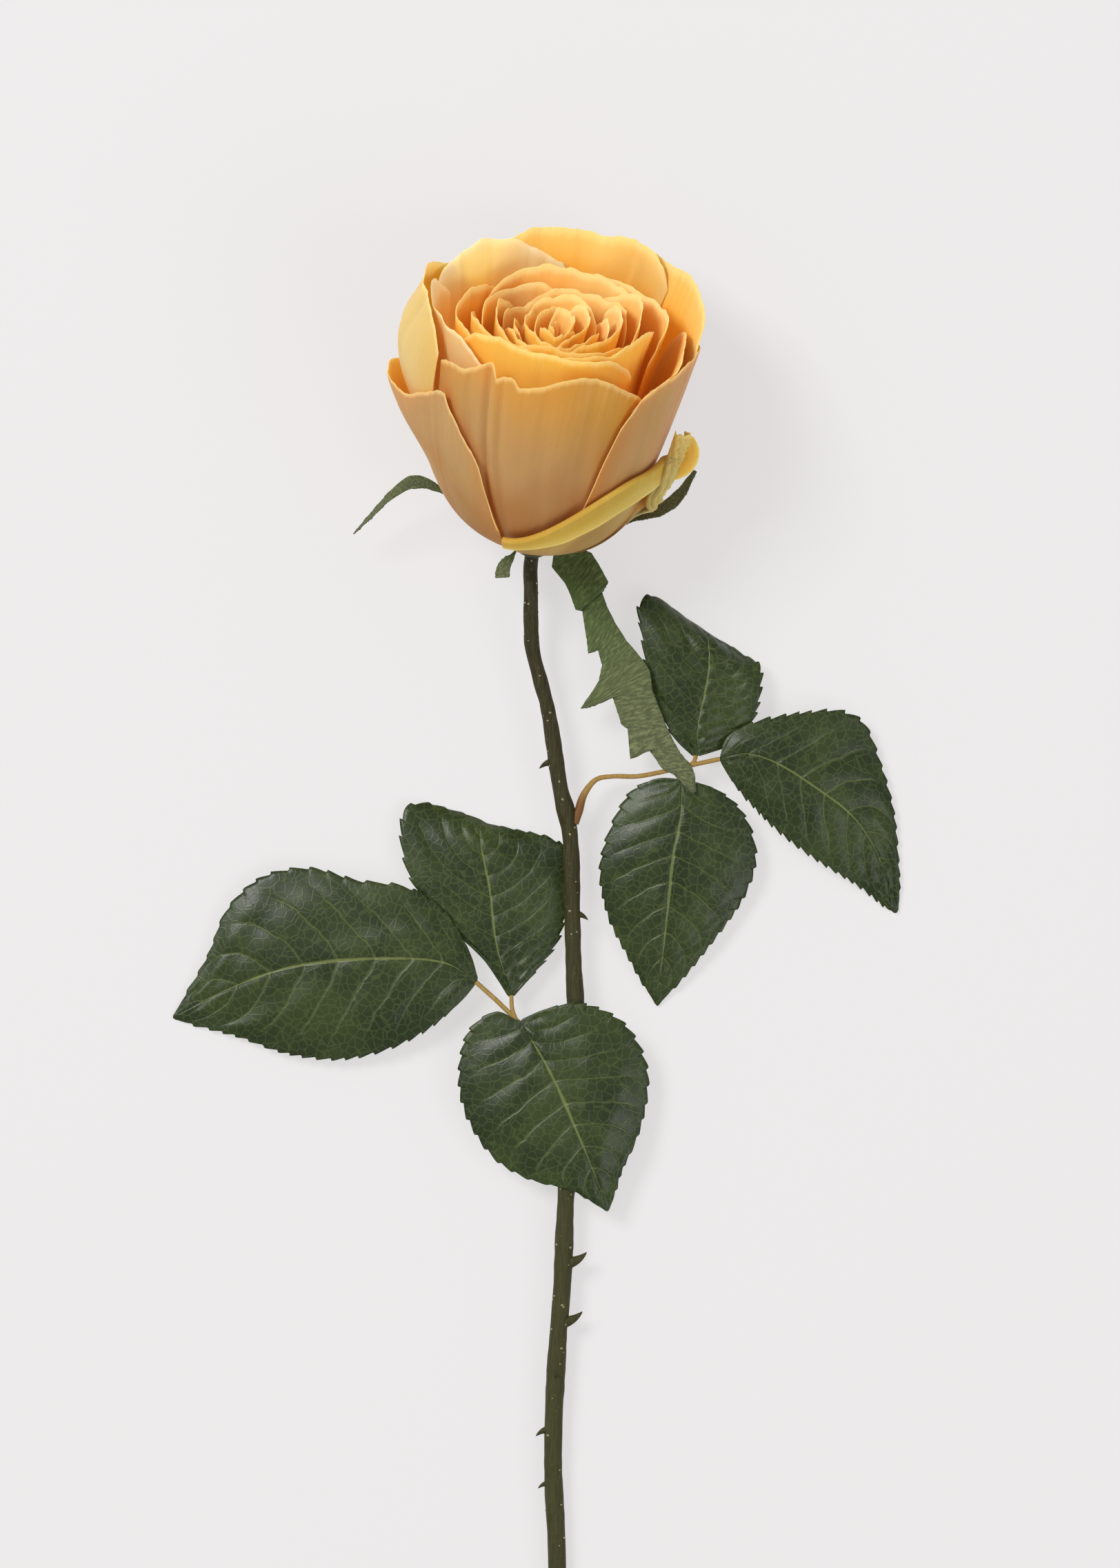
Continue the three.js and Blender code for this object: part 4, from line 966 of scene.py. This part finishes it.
# Each sepal: its left margin, middle and right margin from foot to tip, as (x, y, z) from the
# bloom's base.
SEPALS = {
    "sepal_left": (
        [(-6.6, -3.9, -2.2), (-14.8, 2, -0.4), (-25.4, 11.2, 5.4), (-33.3, 12.6, 6.4),
         (-39.6, 9.4, 4.4), (-44.6, 4.8, 1), (-49.8, 0.2, -3)],
        [(-6.5, -2.8, -2), (-15.8, 3.2, 0), (-27, 13, 6.6), (-33.5, 14.3, 7.4), (-39, 11.2, 5),
         (-43.9, 6.5, 1.2), (-49.4, 0.7, -3)],
        [(-6.4, -1.6, -1.8), (-16.6, 4.2, 0.4), (-28.6, 14.8, 7.4), (-33.6, 16, 8.2), (-38.4, 13, 5.6),
         (-43.2, 8, 1.6), (-49, 1.2, -3)],
    ),
    "sepal_short": (
        [(-5.5, -5.6, -2.4), (-9, -7, -1.4), (-10.4, -9.6, -1.4), (-10.8, -11.9, -2)],
        [(-5.2, -4.7, -2), (-7.4, -6.6, -0.8), (-8.6, -9.4, -0.8), (-8.9, -11.8, -1.4)],
        [(-4.9, -3.9, -1.8), (-5.7, -6.4, -0.4), (-6.8, -9.4, -0.4), (-7, -11.7, -1)],
    ),
    "sepal_right": (
        [(5.9, -1.7, -4), (16, 2.2, -4), (26, 6.2, 3), (33.6, 8, 7.4), (38.6, 11.4, 8.6),
         (43.8, 17.4, 9.6)],
        [(6.1, -2.7, -3.6), (16.4, 1, -2.8), (26.6, 4.8, 4.4), (34.4, 6.6, 8.4), (39.4, 10, 9.2),
         (44.1, 17.3, 9.8)],
        [(6.3, -3.7, -3.2), (16.6, -0.4, -1.4), (27, 3.4, 5.6), (35.2, 5.2, 9.4), (40.2, 8.8, 10),
         (44.5, 17, 10)],
    ),
}


def ribbed(points, length, seed):
    """Fine ribs across a sepal, and a crinkled margin."""
    u, v = grid(*points.shape[:2])
    rib = np.sin(2 * math.pi * (v * length / RIB_PITCH + 0.12 * ripples(u + v * 4, seed, 5)))
    edge = np.abs(u) ** 6 * ripples(v * length / 5, seed + 1, 6, 2)
    return points + sheet_normals(points) * (0.07 * rib + 0.25 * edge)[..., None]


def add_sepal(name, points, length):
    mesh = sheet_mesh(name, points, SEPAL_THICKNESS, {"length": length}, upper_is_outside=True)
    finish_piece("rose_" + name, mesh, name, SEPAL)


RIB_PITCH = 1.3
for number, (name, lines) in enumerate(SEPALS.items()):
    points = blade_points(lines, 17, 121)
    length = float(np.linalg.norm(np.diff(points[8], axis=0), axis=1).sum())
    add_sepal(name, ribbed(points, length, 200 + number) + BASE, length)

# The long sepal is lobed: its margins are straight runs between the points of the lobes.
LONG_SEPAL_LENGTH = 78.0
LONG_SEPAL_ARCH = 1.1
LONG_SEPAL_LEFT = [
    (5.4, -5.1, -3.6), (4.9, -8.9, -4.2), (8.5, -13.3, -3.4), (10.1, -16.8, -2.7), (11.4, -20.7, -2.4),
    (13.2, -20.9, -2.3), (14.2, -26.9, -2.6), (14.9, -32.7, -3.2), (17.6, -31.9, -3), (18.7, -35.8, -3.3),
    (17.8, -40.6, -3.9), (12.8, -47.9, -5.2), (15.5, -47.6, -5), (21.5, -44.6, -4.3), (22.7, -47.8, -4.5),
    (24, -52.2, -5), (25.8, -53.6, -5.1), (26.6, -62, -6.4), (30.7, -57.9, -5.7), (35.1, -64.3, -5.9),
    (38.3, -66.1, -5.9), (43.8, -71.2, -6),
]
LONG_SEPAL_RIGHT = [
    (7.8, -3.6, -3.4), (12.6, -3.9, -3.8), (15.6, -5.2, -3.8), (17.4, -8, -3.2), (20.3, -13.2, -2.6),
    (18.5, -15.8, -2.2), (19.4, -18.6, -2.3), (20.6, -21.4, -2.3), (22.5, -25, -2.4), (25, -29, -2.7),
    (27.5, -32, -2.9), (30, -35, -3.2), (31.7, -37.7, -3.4), (32.3, -42.7, -3.9), (33.4, -45.6, -4.3),
    (34.5, -48.4, -4.6), (36, -52.2, -5), (37.7, -56, -5.4), (40.2, -60.4, -5.7), (42.6, -63, -5.8),
    (44.2, -66.2, -5.9), (44.3, -70.8, -6),
]


def long_sepal_points(across=25, along=241):
    """A strip between both margins, arched across, with a notch where it bends over the stalk."""
    def margin(points):
        p = np.array(points, dtype=float)
        at = np.linspace(0, len(p) - 1, along)
        return np.stack([np.interp(at, np.arange(len(p)), p[:, k]) for k in range(3)], axis=1)

    u, v = grid(across, along, 0.0)
    left, right = margin(LONG_SEPAL_LEFT)[None], margin(LONG_SEPAL_RIGHT)[None]
    points = left * (1 - u[..., None]) + right * u[..., None]
    points[..., 2] += LONG_SEPAL_ARCH * np.sin(math.pi * u) * smooth(v, 0.04, 0.25)
    points[..., 2] -= LONG_SEPAL_ARCH * np.exp(-(((v - 0.235) / 0.012) ** 2))
    return points


points = ribbed(long_sepal_points(), LONG_SEPAL_LENGTH, 210) + BASE
add_sepal("sepal_long", points, LONG_SEPAL_LENGTH)

# The fifth sepal lies against the back of the bloom and ends before the petals reach the surface.
BACK_SEPAL_LENGTH = 16.0
BACK_SEPAL_SHARE = 0.13


def back_sepal_points(across=17, along=61):
    u, v = grid(across, along)
    radius, height = cup_point(0.03 + BACK_SEPAL_SHARE * v, mix(1, 0.93, v))
    angle = np.radians(96 + u * mix(15, 4, v))
    r = radius + mix(0.9, 0.5, v)
    return from_bloom(r * np.cos(angle), r * np.sin(angle), height - mix(1.6, 1, v))


add_sepal("sepal_back", back_sepal_points(), BACK_SEPAL_LENGTH)


# ---- Stem and stalks, by Geometry Nodes ----

class Nodes:
    """A Geometry Nodes tree under construction."""

    def __init__(self, name):
        self.tree = bpy.data.node_groups.new(name, "GeometryNodeTree")
        self.tree.interface.new_socket("Geometry", in_out="INPUT", socket_type="NodeSocketGeometry")
        self.tree.interface.new_socket("Geometry", in_out="OUTPUT", socket_type="NodeSocketGeometry")
        self.start = self.tree.nodes.new("NodeGroupInput")
        self.end = self.tree.nodes.new("NodeGroupOutput")
        self.names = {}

    def asks(self, name, kind, default=None):
        """A named input of the tree."""
        socket = self.tree.interface.new_socket(name, in_out="INPUT", socket_type="NodeSocket" + kind)
        if default is not None:
            socket.default_value = default
        self.names[name] = socket.identifier
        return self.start.outputs[name]

    def add(self, kind, settings, values, output=0):
        node = self.tree.nodes.new(kind)
        for key, value in settings.items():
            setattr(node, key, value)
        for key, value in values.items():
            target = node.inputs[key]
            for one in value if isinstance(value, list) else [value]:
                if isinstance(one, bpy.types.NodeSocket):
                    self.tree.links.new(one, target)
                else:
                    target.default_value = one
        return node.outputs[output]

    def make(self, name, source, values):
        """The tree applied to source, as a plain mesh."""
        modifier = source.modifiers.new(name, "NODES")
        modifier.node_group = self.tree
        for key, value in values.items():
            modifier[self.names[key]] = value
        bpy.context.view_layer.update()
        graph = bpy.context.evaluated_depsgraph_get()
        mesh = bpy.data.meshes.new_from_object(source.evaluated_get(graph), depsgraph=graph)
        source.modifiers.remove(modifier)
        mesh.name = name
        return mesh


def path_object(name, paths):
    """A curve object of straight runs; each path is a list of points (mm) and radii (mm)."""
    curve = bpy.data.curves.new(name, "CURVE")
    curve.dimensions = "3D"
    for points, radii in paths:
        spline = curve.splines.new("POLY")
        spline.points.add(len(points) - 1)
        for k, (point, radius) in enumerate(zip(points, radii)):
            spline.points[k].co = (*(np.asarray(point) * MM), 1.0)
            spline.points[k].radius = radius * MM
    owner = bpy.data.objects.new(name, curve)
    bpy.context.scene.collection.objects.link(owner)
    return owner


KNOBS_PER_METRE = (900.0, 130.0, 900.0)


def bark_tree():
    """A round bar along each path, with knobbly bark, spots, and prickles on given places."""
    n = Nodes("bark")
    sides = n.asks("Sides", "Int", 24)
    roughness = n.asks("Knobbliness", "Float", 0.1 * MM)
    spot_density = n.asks("Spots Per Square Metre", "Float", 0.0)
    seed = n.asks("Seed", "Int", 3)
    bark = n.asks("Bark", "Material")
    spot_material = n.asks("Spot Finish", "Material")
    places = n.asks("Prickle Places", "Object")

    radius = n.add("GeometryNodeInputNamedAttribute", {"data_type": "FLOAT"}, {"Name": "radius"})
    ring = n.add("GeometryNodeCurvePrimitiveCircle", {"mode": "RADIUS"}, {"Resolution": sides, "Radius": 1.0})
    bar = n.add(
        "GeometryNodeCurveToMesh", {},
        {"Curve": n.start.outputs["Geometry"], "Profile Curve": ring, "Scale": radius, "Fill Caps": True},
    )
    position = n.add("GeometryNodeInputPosition", {}, {})
    squeezed = n.add("ShaderNodeVectorMath", {"operation": "MULTIPLY"}, {0: position, 1: KNOBS_PER_METRE})
    noise = n.add("ShaderNodeTexNoise", {}, {"Vector": squeezed, "Scale": 1.0, "Detail": 2.0}, "Fac")
    centred = n.add("ShaderNodeMath", {"operation": "SUBTRACT"}, {0: noise, 1: 0.5})
    amount = n.add("ShaderNodeMath", {"operation": "MULTIPLY"}, {0: centred, 1: roughness})
    normal = n.add("GeometryNodeInputNormal", {}, {})
    offset = n.add("ShaderNodeVectorMath", {"operation": "SCALE"}, {0: normal, "Scale": amount})
    bar = n.add("GeometryNodeSetPosition", {}, {"Geometry": bar, "Offset": offset})
    bar = n.add("GeometryNodeSetShadeSmooth", {}, {"Geometry": bar, "Shade Smooth": True})
    barked = n.add("GeometryNodeSetMaterial", {}, {"Geometry": bar, "Material": bark})

    points = n.add(
        "GeometryNodeDistributePointsOnFaces", {"distribute_method": "RANDOM"},
        {"Mesh": bar, "Density": spot_density, "Seed": seed},
    )
    turn = points.node.outputs["Rotation"]
    ball = n.add("GeometryNodeMeshIcoSphere", {}, {"Radius": 0.22 * MM, "Subdivisions": 2})
    flat = n.add("GeometryNodeTransform", {}, {"Geometry": ball, "Scale": (1.0, 1.5, 0.45)})
    size = n.add("FunctionNodeRandomValue", {"data_type": "FLOAT"}, {2: 0.6, 3: 1.5, "Seed": seed}, 1)
    spots = n.add(
        "GeometryNodeInstanceOnPoints", {},
        {"Points": points, "Instance": flat, "Rotation": turn, "Scale": size},
    )
    spots = n.add("GeometryNodeRealizeInstances", {}, {"Geometry": spots})
    spots = n.add("GeometryNodeSetShadeSmooth", {}, {"Geometry": spots, "Shade Smooth": True})
    spots = n.add("GeometryNodeSetMaterial", {}, {"Geometry": spots, "Material": spot_material})

    # A prickle: a hooked cone that stands along +X and hooks along +Z, one unit long.
    hook = n.add(
        "GeometryNodeCurveQuadraticBezier", {},
        {"Resolution": 14, "Start": (-0.25, 0, 0), "Middle": (0.45, 0, 0.1), "End": (1.0, 0, 0.7)},
    )
    along = n.add("GeometryNodeSplineParameter", {}, {}, "Factor")
    left = n.add("ShaderNodeMath", {"operation": "SUBTRACT"}, {0: 1.0, 1: along})
    taper = n.add("ShaderNodeMath", {"operation": "POWER"}, {0: left, 1: 0.8})
    girth = n.add("ShaderNodeMath", {"operation": "MULTIPLY_ADD"}, {0: taper, 1: 0.42, 2: 0.012})
    hook = n.add("GeometryNodeSetCurveRadius", {}, {"Curve": hook, "Radius": girth})
    small = n.add("GeometryNodeCurvePrimitiveCircle", {"mode": "RADIUS"}, {"Resolution": 14, "Radius": 1.0})
    cone = n.add(
        "GeometryNodeCurveToMesh", {},
        {"Curve": hook, "Profile Curve": small, "Scale": radius, "Fill Caps": True},
    )
    where = n.add("GeometryNodeObjectInfo", {"transform_space": "RELATIVE"}, {"Object": places}, "Geometry")
    pose = n.add("GeometryNodeInputNamedAttribute", {"data_type": "FLOAT_VECTOR"}, {"Name": "pose"})
    grow = n.add("GeometryNodeInputNamedAttribute", {"data_type": "FLOAT_VECTOR"}, {"Name": "grow"})
    turned = n.add("FunctionNodeEulerToRotation", {}, {0: pose})
    prickles = n.add(
        "GeometryNodeInstanceOnPoints", {},
        {"Points": where, "Instance": cone, "Rotation": turned, "Scale": grow},
    )
    prickles = n.add("GeometryNodeRealizeInstances", {}, {"Geometry": prickles})
    prickles = n.add("GeometryNodeSetShadeSmooth", {}, {"Geometry": prickles, "Shade Smooth": True})
    prickles = n.add("GeometryNodeSetMaterial", {}, {"Geometry": prickles, "Material": bark})
    whole = n.add("GeometryNodeJoinGeometry", {}, {"Geometry": [prickles, spots, barked]})
    whole = n.add("GeometryNodeRealizeInstances", {}, {"Geometry": whole})
    n.tree.links.new(whole, n.end.inputs["Geometry"])
    return n


# The stem's middle line from the bloom down, as (x, y, z) with x and y from the bloom's base and z
# from the surface. A node, where the leaves grow out, thickens it.
STEM_TOP_RADIUS = 1.8
STEM_END_RADIUS = 2.5
STEM_STEPS = 400
NODE_BULGE = 0.45
NODE_SHARE = 0.235
NODE_SPREAD = 0.014
STALK_RADIUS = 0.65
neck = -(CALYX_DEPTH + 0.05) * AXIS
STEM_PATH = [
    (neck[0], neck[1], BASE[2] + neck[2]),
    (1.78 * neck[0], 1.78 * neck[1], BASE[2] + 1.78 * neck[2]),
    (-1, -15, 10.6), (-1, -23.8, 9.4), (-0.6, -31.4, 8.9), (1.5, -39.9, 8.5), (3.8, -48.5, 8.2),
    (5.3, -58, 8), (7, -69.4, 7.8), (8.8, -77, 7.6), (9.9, -84, 7.4), (10.3, -99.8, 7),
    (10.8, -118.8, 6.6), (11.4, -132, 6.3), (10.5, -156.8, 5.8), (8.6, -184, 5.2), (7.8, -204.3, 4.8),
    (5.9, -230.9, 4.2), (5.1, -255.6, 3.6), (6.1, -279, 3.1), (6.6, -315.2, STEM_END_RADIUS),
]
stem_line = curve_points(STEM_PATH, STEM_STEPS)
stem_shares = np.linspace(0, 1, STEM_STEPS)
stem_radii = mix(STEM_TOP_RADIUS, STEM_END_RADIUS, smooth(stem_shares, -0.3, 0.75))
stem_radii = stem_radii + NODE_BULGE * np.exp(-(((stem_shares - NODE_SHARE) / NODE_SPREAD) ** 2))
swell = smooth(stem_shares, 0.02, 0.1) * (1 - smooth(stem_shares, 0.6, 0.9) * 0.5)
stem_radii = stem_radii + 0.16 * ripples(stem_shares * 9, 21, 8, 2.0) * swell

# Each prickle: y of its foot, degrees around the stem, reach (mm), and whether it hooks up or down.
UP, DOWN = 1, -1
PRICKLE_SEAT = 0.92
PRICKLES = [
    (-62.5, 178, 2.6, DOWN), (-104.5, 8, 2.4, DOWN), (-147, 60, 2.2, DOWN), (-201, 12, 4.2, UP),
    (-217, 5, 4.2, UP), (-247, 175, 2.6, DOWN), (-262, 186, 2.0, DOWN), (-292, 30, 3.4, UP),
    (-92, 200, 1.6, DOWN), (-232, 90, 1.8, UP),
]


def prickle_places():
    """A point for each prickle, with its turn (pose) and its size (grow)."""
    points, turns, sizes = [], [], []
    for y, around, reach, hook in PRICKLES:
        k = int(np.argmin(np.abs(stem_line[:, 1] - y)))
        out = np.array([math.cos(math.radians(around)), 0, math.sin(math.radians(around))])
        points.append((in_row_frame(stem_line[k]) + out * stem_radii[k] * PRICKLE_SEAT) * MM)
        # The cone's +X points out of the stem, and its hook (+Z) up or down the stem.
        up = np.array([0.0, 1.0 * hook, 0.0])
        side = np.cross(up, out)
        turns.append(tuple(Matrix([[out[k], side[k], up[k]] for k in range(3)]).to_euler()))
        sizes.append((reach * MM,) * 3)
    mesh = bpy.data.meshes.new("prickle_places")
    mesh.from_pydata([tuple(p) for p in points], [], [])
    for name, values in (("pose", turns), ("grow", sizes)):
        attribute = mesh.attributes.new(name, "FLOAT_VECTOR", "POINT")
        attribute.data.foreach_set("vector", np.array(values, dtype=np.float32).ravel())
    owner = bpy.data.objects.new("prickle_places", mesh)
    bpy.context.scene.collection.objects.link(owner)
    return owner


bark = bark_tree()
places = prickle_places()
source = path_object("stem_path", [(in_row_frame(stem_line), stem_radii)])
mesh = bark.make("stem", source, {
    "Sides": 40, "Knobbliness": 0.35 * MM, "Spots Per Square Metre": 26000.0, "Seed": 5,
    "Bark": STEM, "Spot Finish": SPOT, "Prickle Places": places,
})
bpy.data.objects.remove(source)

# The cut end is slanted.
CUT_SLOPE = 0.5
CUT_REACH = 6.0
cut_x = (BASE[0] + STEM_PATH[-1][0]) * MM
cut_y = (BASE[1] + STEM_PATH[-1][1]) * MM
for vertex in mesh.vertices:
    near = max(0.0, 1 - (vertex.co.y - cut_y) / (CUT_REACH * MM))
    vertex.co.y -= near * CUT_SLOPE * (vertex.co.x - cut_x)
finish_piece("rose_stem", mesh, "stem")


def twig(points, start_radius, end_radius, count=70):
    """A path for path_object that thins out over its first third."""
    line = curve_points(points, count)
    share = np.linspace(0, 1, count)
    return in_row_frame(line), mix(start_radius, end_radius, smooth(share, 0, 0.35))


def stem_side(y, side):
    """The stem's edge at a height: x on its right (1) or left (-1)."""
    k = int(np.argmin(np.abs(stem_line[:, 1] - y)))
    return stem_line[k, 0] + side * stem_radii[k]


empty_places = bpy.data.objects.new("no_prickles", bpy.data.meshes.new("no_prickles"))
upper_foot = stem_side(-76, 1) + GAP + 2 * STALK_RADIUS
lower_foot = stem_side(-143.5, -1) - GAP - 1.4 * STALK_RADIUS
TWIG_END = 0.9 * STALK_RADIUS
STALKS = {
    "upper_leaf_stalk": [
        twig([
            (upper_foot - 1.9, -79.6, 7.6), (upper_foot - 0.7, -76.4, 7.6), (upper_foot + 0.8, -71.8, 7.3),
            (17, -67.6, 7), (21.5, -66.7, 6.8), (28, -66.7, 6.7), (34, -65.7, 6.7), (41, -64.1, 6.8),
            (46, -63, 7.1), (51.2, -61.9, 7.8),
        ], 2 * STALK_RADIUS, STALK_RADIUS, 160),
        twig([(42, -63.9, 6.8), (43.8, -62.9, 7), (44.6, -60.9, 7.3)], STALK_RADIUS, TWIG_END),
        twig([(38.6, -64.6, 6.8), (40.1, -65.4, 6.9), (40.6, -67.4, 7.2)], STALK_RADIUS, TWIG_END),
    ],
    "lower_leaf_stalk": [
        twig([
            (lower_foot + 1.5, -145, 6.2), (lower_foot - 2, -142, 6.4), (0, -138.6, 6.6),
            (-5.7, -133.2, 6.8), (-10, -129, 6.8), (-16.2, -123.4, 6.9),
        ], 1.7 * STALK_RADIUS, STALK_RADIUS, 120),
        twig([(-5.4, -133.4, 6.8), (-6.2, -130.6, 6.3), (-6.4, -127.2, 5.8)], STALK_RADIUS, TWIG_END),
        twig([(-3.4, -135.4, 6.7), (-4.6, -134.8, 7.6), (-4.4, -134.4, 8.3)], STALK_RADIUS, TWIG_END),
    ],
}
for name, paths in STALKS.items():
    source = path_object(name + "_path", paths)
    mesh = bark.make(name, source, {
        "Sides": 24, "Knobbliness": 0.15 * MM, "Spots Per Square Metre": 0.0, "Seed": 2,
        "Bark": STALK, "Spot Finish": SPOT, "Prickle Places": empty_places,
    })
    bpy.data.objects.remove(source)
    finish_piece("rose_" + name, mesh, name)
bpy.data.objects.remove(places)
bpy.data.objects.remove(empty_places)


# ---- Stage, light and camera ----

FLOOR_HALF = 8.0
FLOOR_DROP = 0.0003


def backdrop():
    """The pale sheet under the rose, which glows a little so that it stays pale."""
    m = Finish("backdrop", roughness=0.95, specular=0.0)
    speckle = m.noise(m.place(), 40.0, 2.0)
    material = m.paint(m.blend(speckle * 0.02, (0.2, 0.2, 0.2), (0.19, 0.19, 0.19)))
    m.principled.inputs["Emission Color"].default_value = (1.0, 0.975, 0.975, 1.0)
    m.principled.inputs["Emission Strength"].default_value = 0.61
    mesh = bpy.data.meshes.new("floor")
    corners = [(FLOOR_HALF * x, FLOOR_HALF * y, 0) for x, y in ((-1, -1), (1, -1), (1, 1), (-1, 1))]
    mesh.from_pydata(corners, [], [(0, 1, 2, 3)])
    mesh.materials.append(material)
    floor = bpy.data.objects.new("floor", mesh)
    floor.location.z = -FLOOR_DROP
    bpy.context.scene.collection.objects.link(floor)


def soft_light(name, place, target, size, power):
    """A round lamp at a place, turned to a target."""
    data = bpy.data.lights.new(name, "AREA")
    data.shape = "DISK"
    data.size = size
    data.energy = power
    light = bpy.data.objects.new(name, data)
    light.location = place
    light.rotation_euler = (Vector(target) - Vector(place)).to_track_quat("-Z", "Y").to_euler()
    bpy.context.scene.collection.objects.link(light)


scene = bpy.context.scene
scene.view_settings.view_transform = "Standard"
world = bpy.data.worlds.new("studio")
scene.world = world
world.use_nodes = True
world.node_tree.nodes["Background"].inputs[0].default_value = (1.0, 0.99, 0.985, 1.0)
world.node_tree.nodes["Background"].inputs[1].default_value = 0.5
backdrop()
middle = BASE * MM
soft_light("key", (-1.7, middle[1] + 1.4, 2.7), (0, 0, 0.03), 1.4, 88.0)
soft_light("fill", (2.2, -1.2, 2.6), (0, 0, 0.02), 2.4, 34.0)

# The camera looks straight down. The view is SHOWN_HEIGHT (mm) tall at SHOWN_LEVEL (m) above the
# surface, and its middle is AIM (mm) away from the bloom's base.
SHOWN_HEIGHT = 432.06
SHOWN_LEVEL = 0.014
CAMERA_HEIGHT = 5.0
AIM = (7.03, -68.8)
camera_data = bpy.data.cameras.new("camera")
camera_data.sensor_width = 36.0
camera_data.lens = camera_data.sensor_width * (CAMERA_HEIGHT - SHOWN_LEVEL) / (SHOWN_HEIGHT * MM)
camera_data.clip_end = 50.0
camera = bpy.data.objects.new("camera", camera_data)
camera.location = (middle[0] + AIM[0] * MM, middle[1] + AIM[1] * MM, CAMERA_HEIGHT)
scene.collection.objects.link(camera)
scene.camera = camera
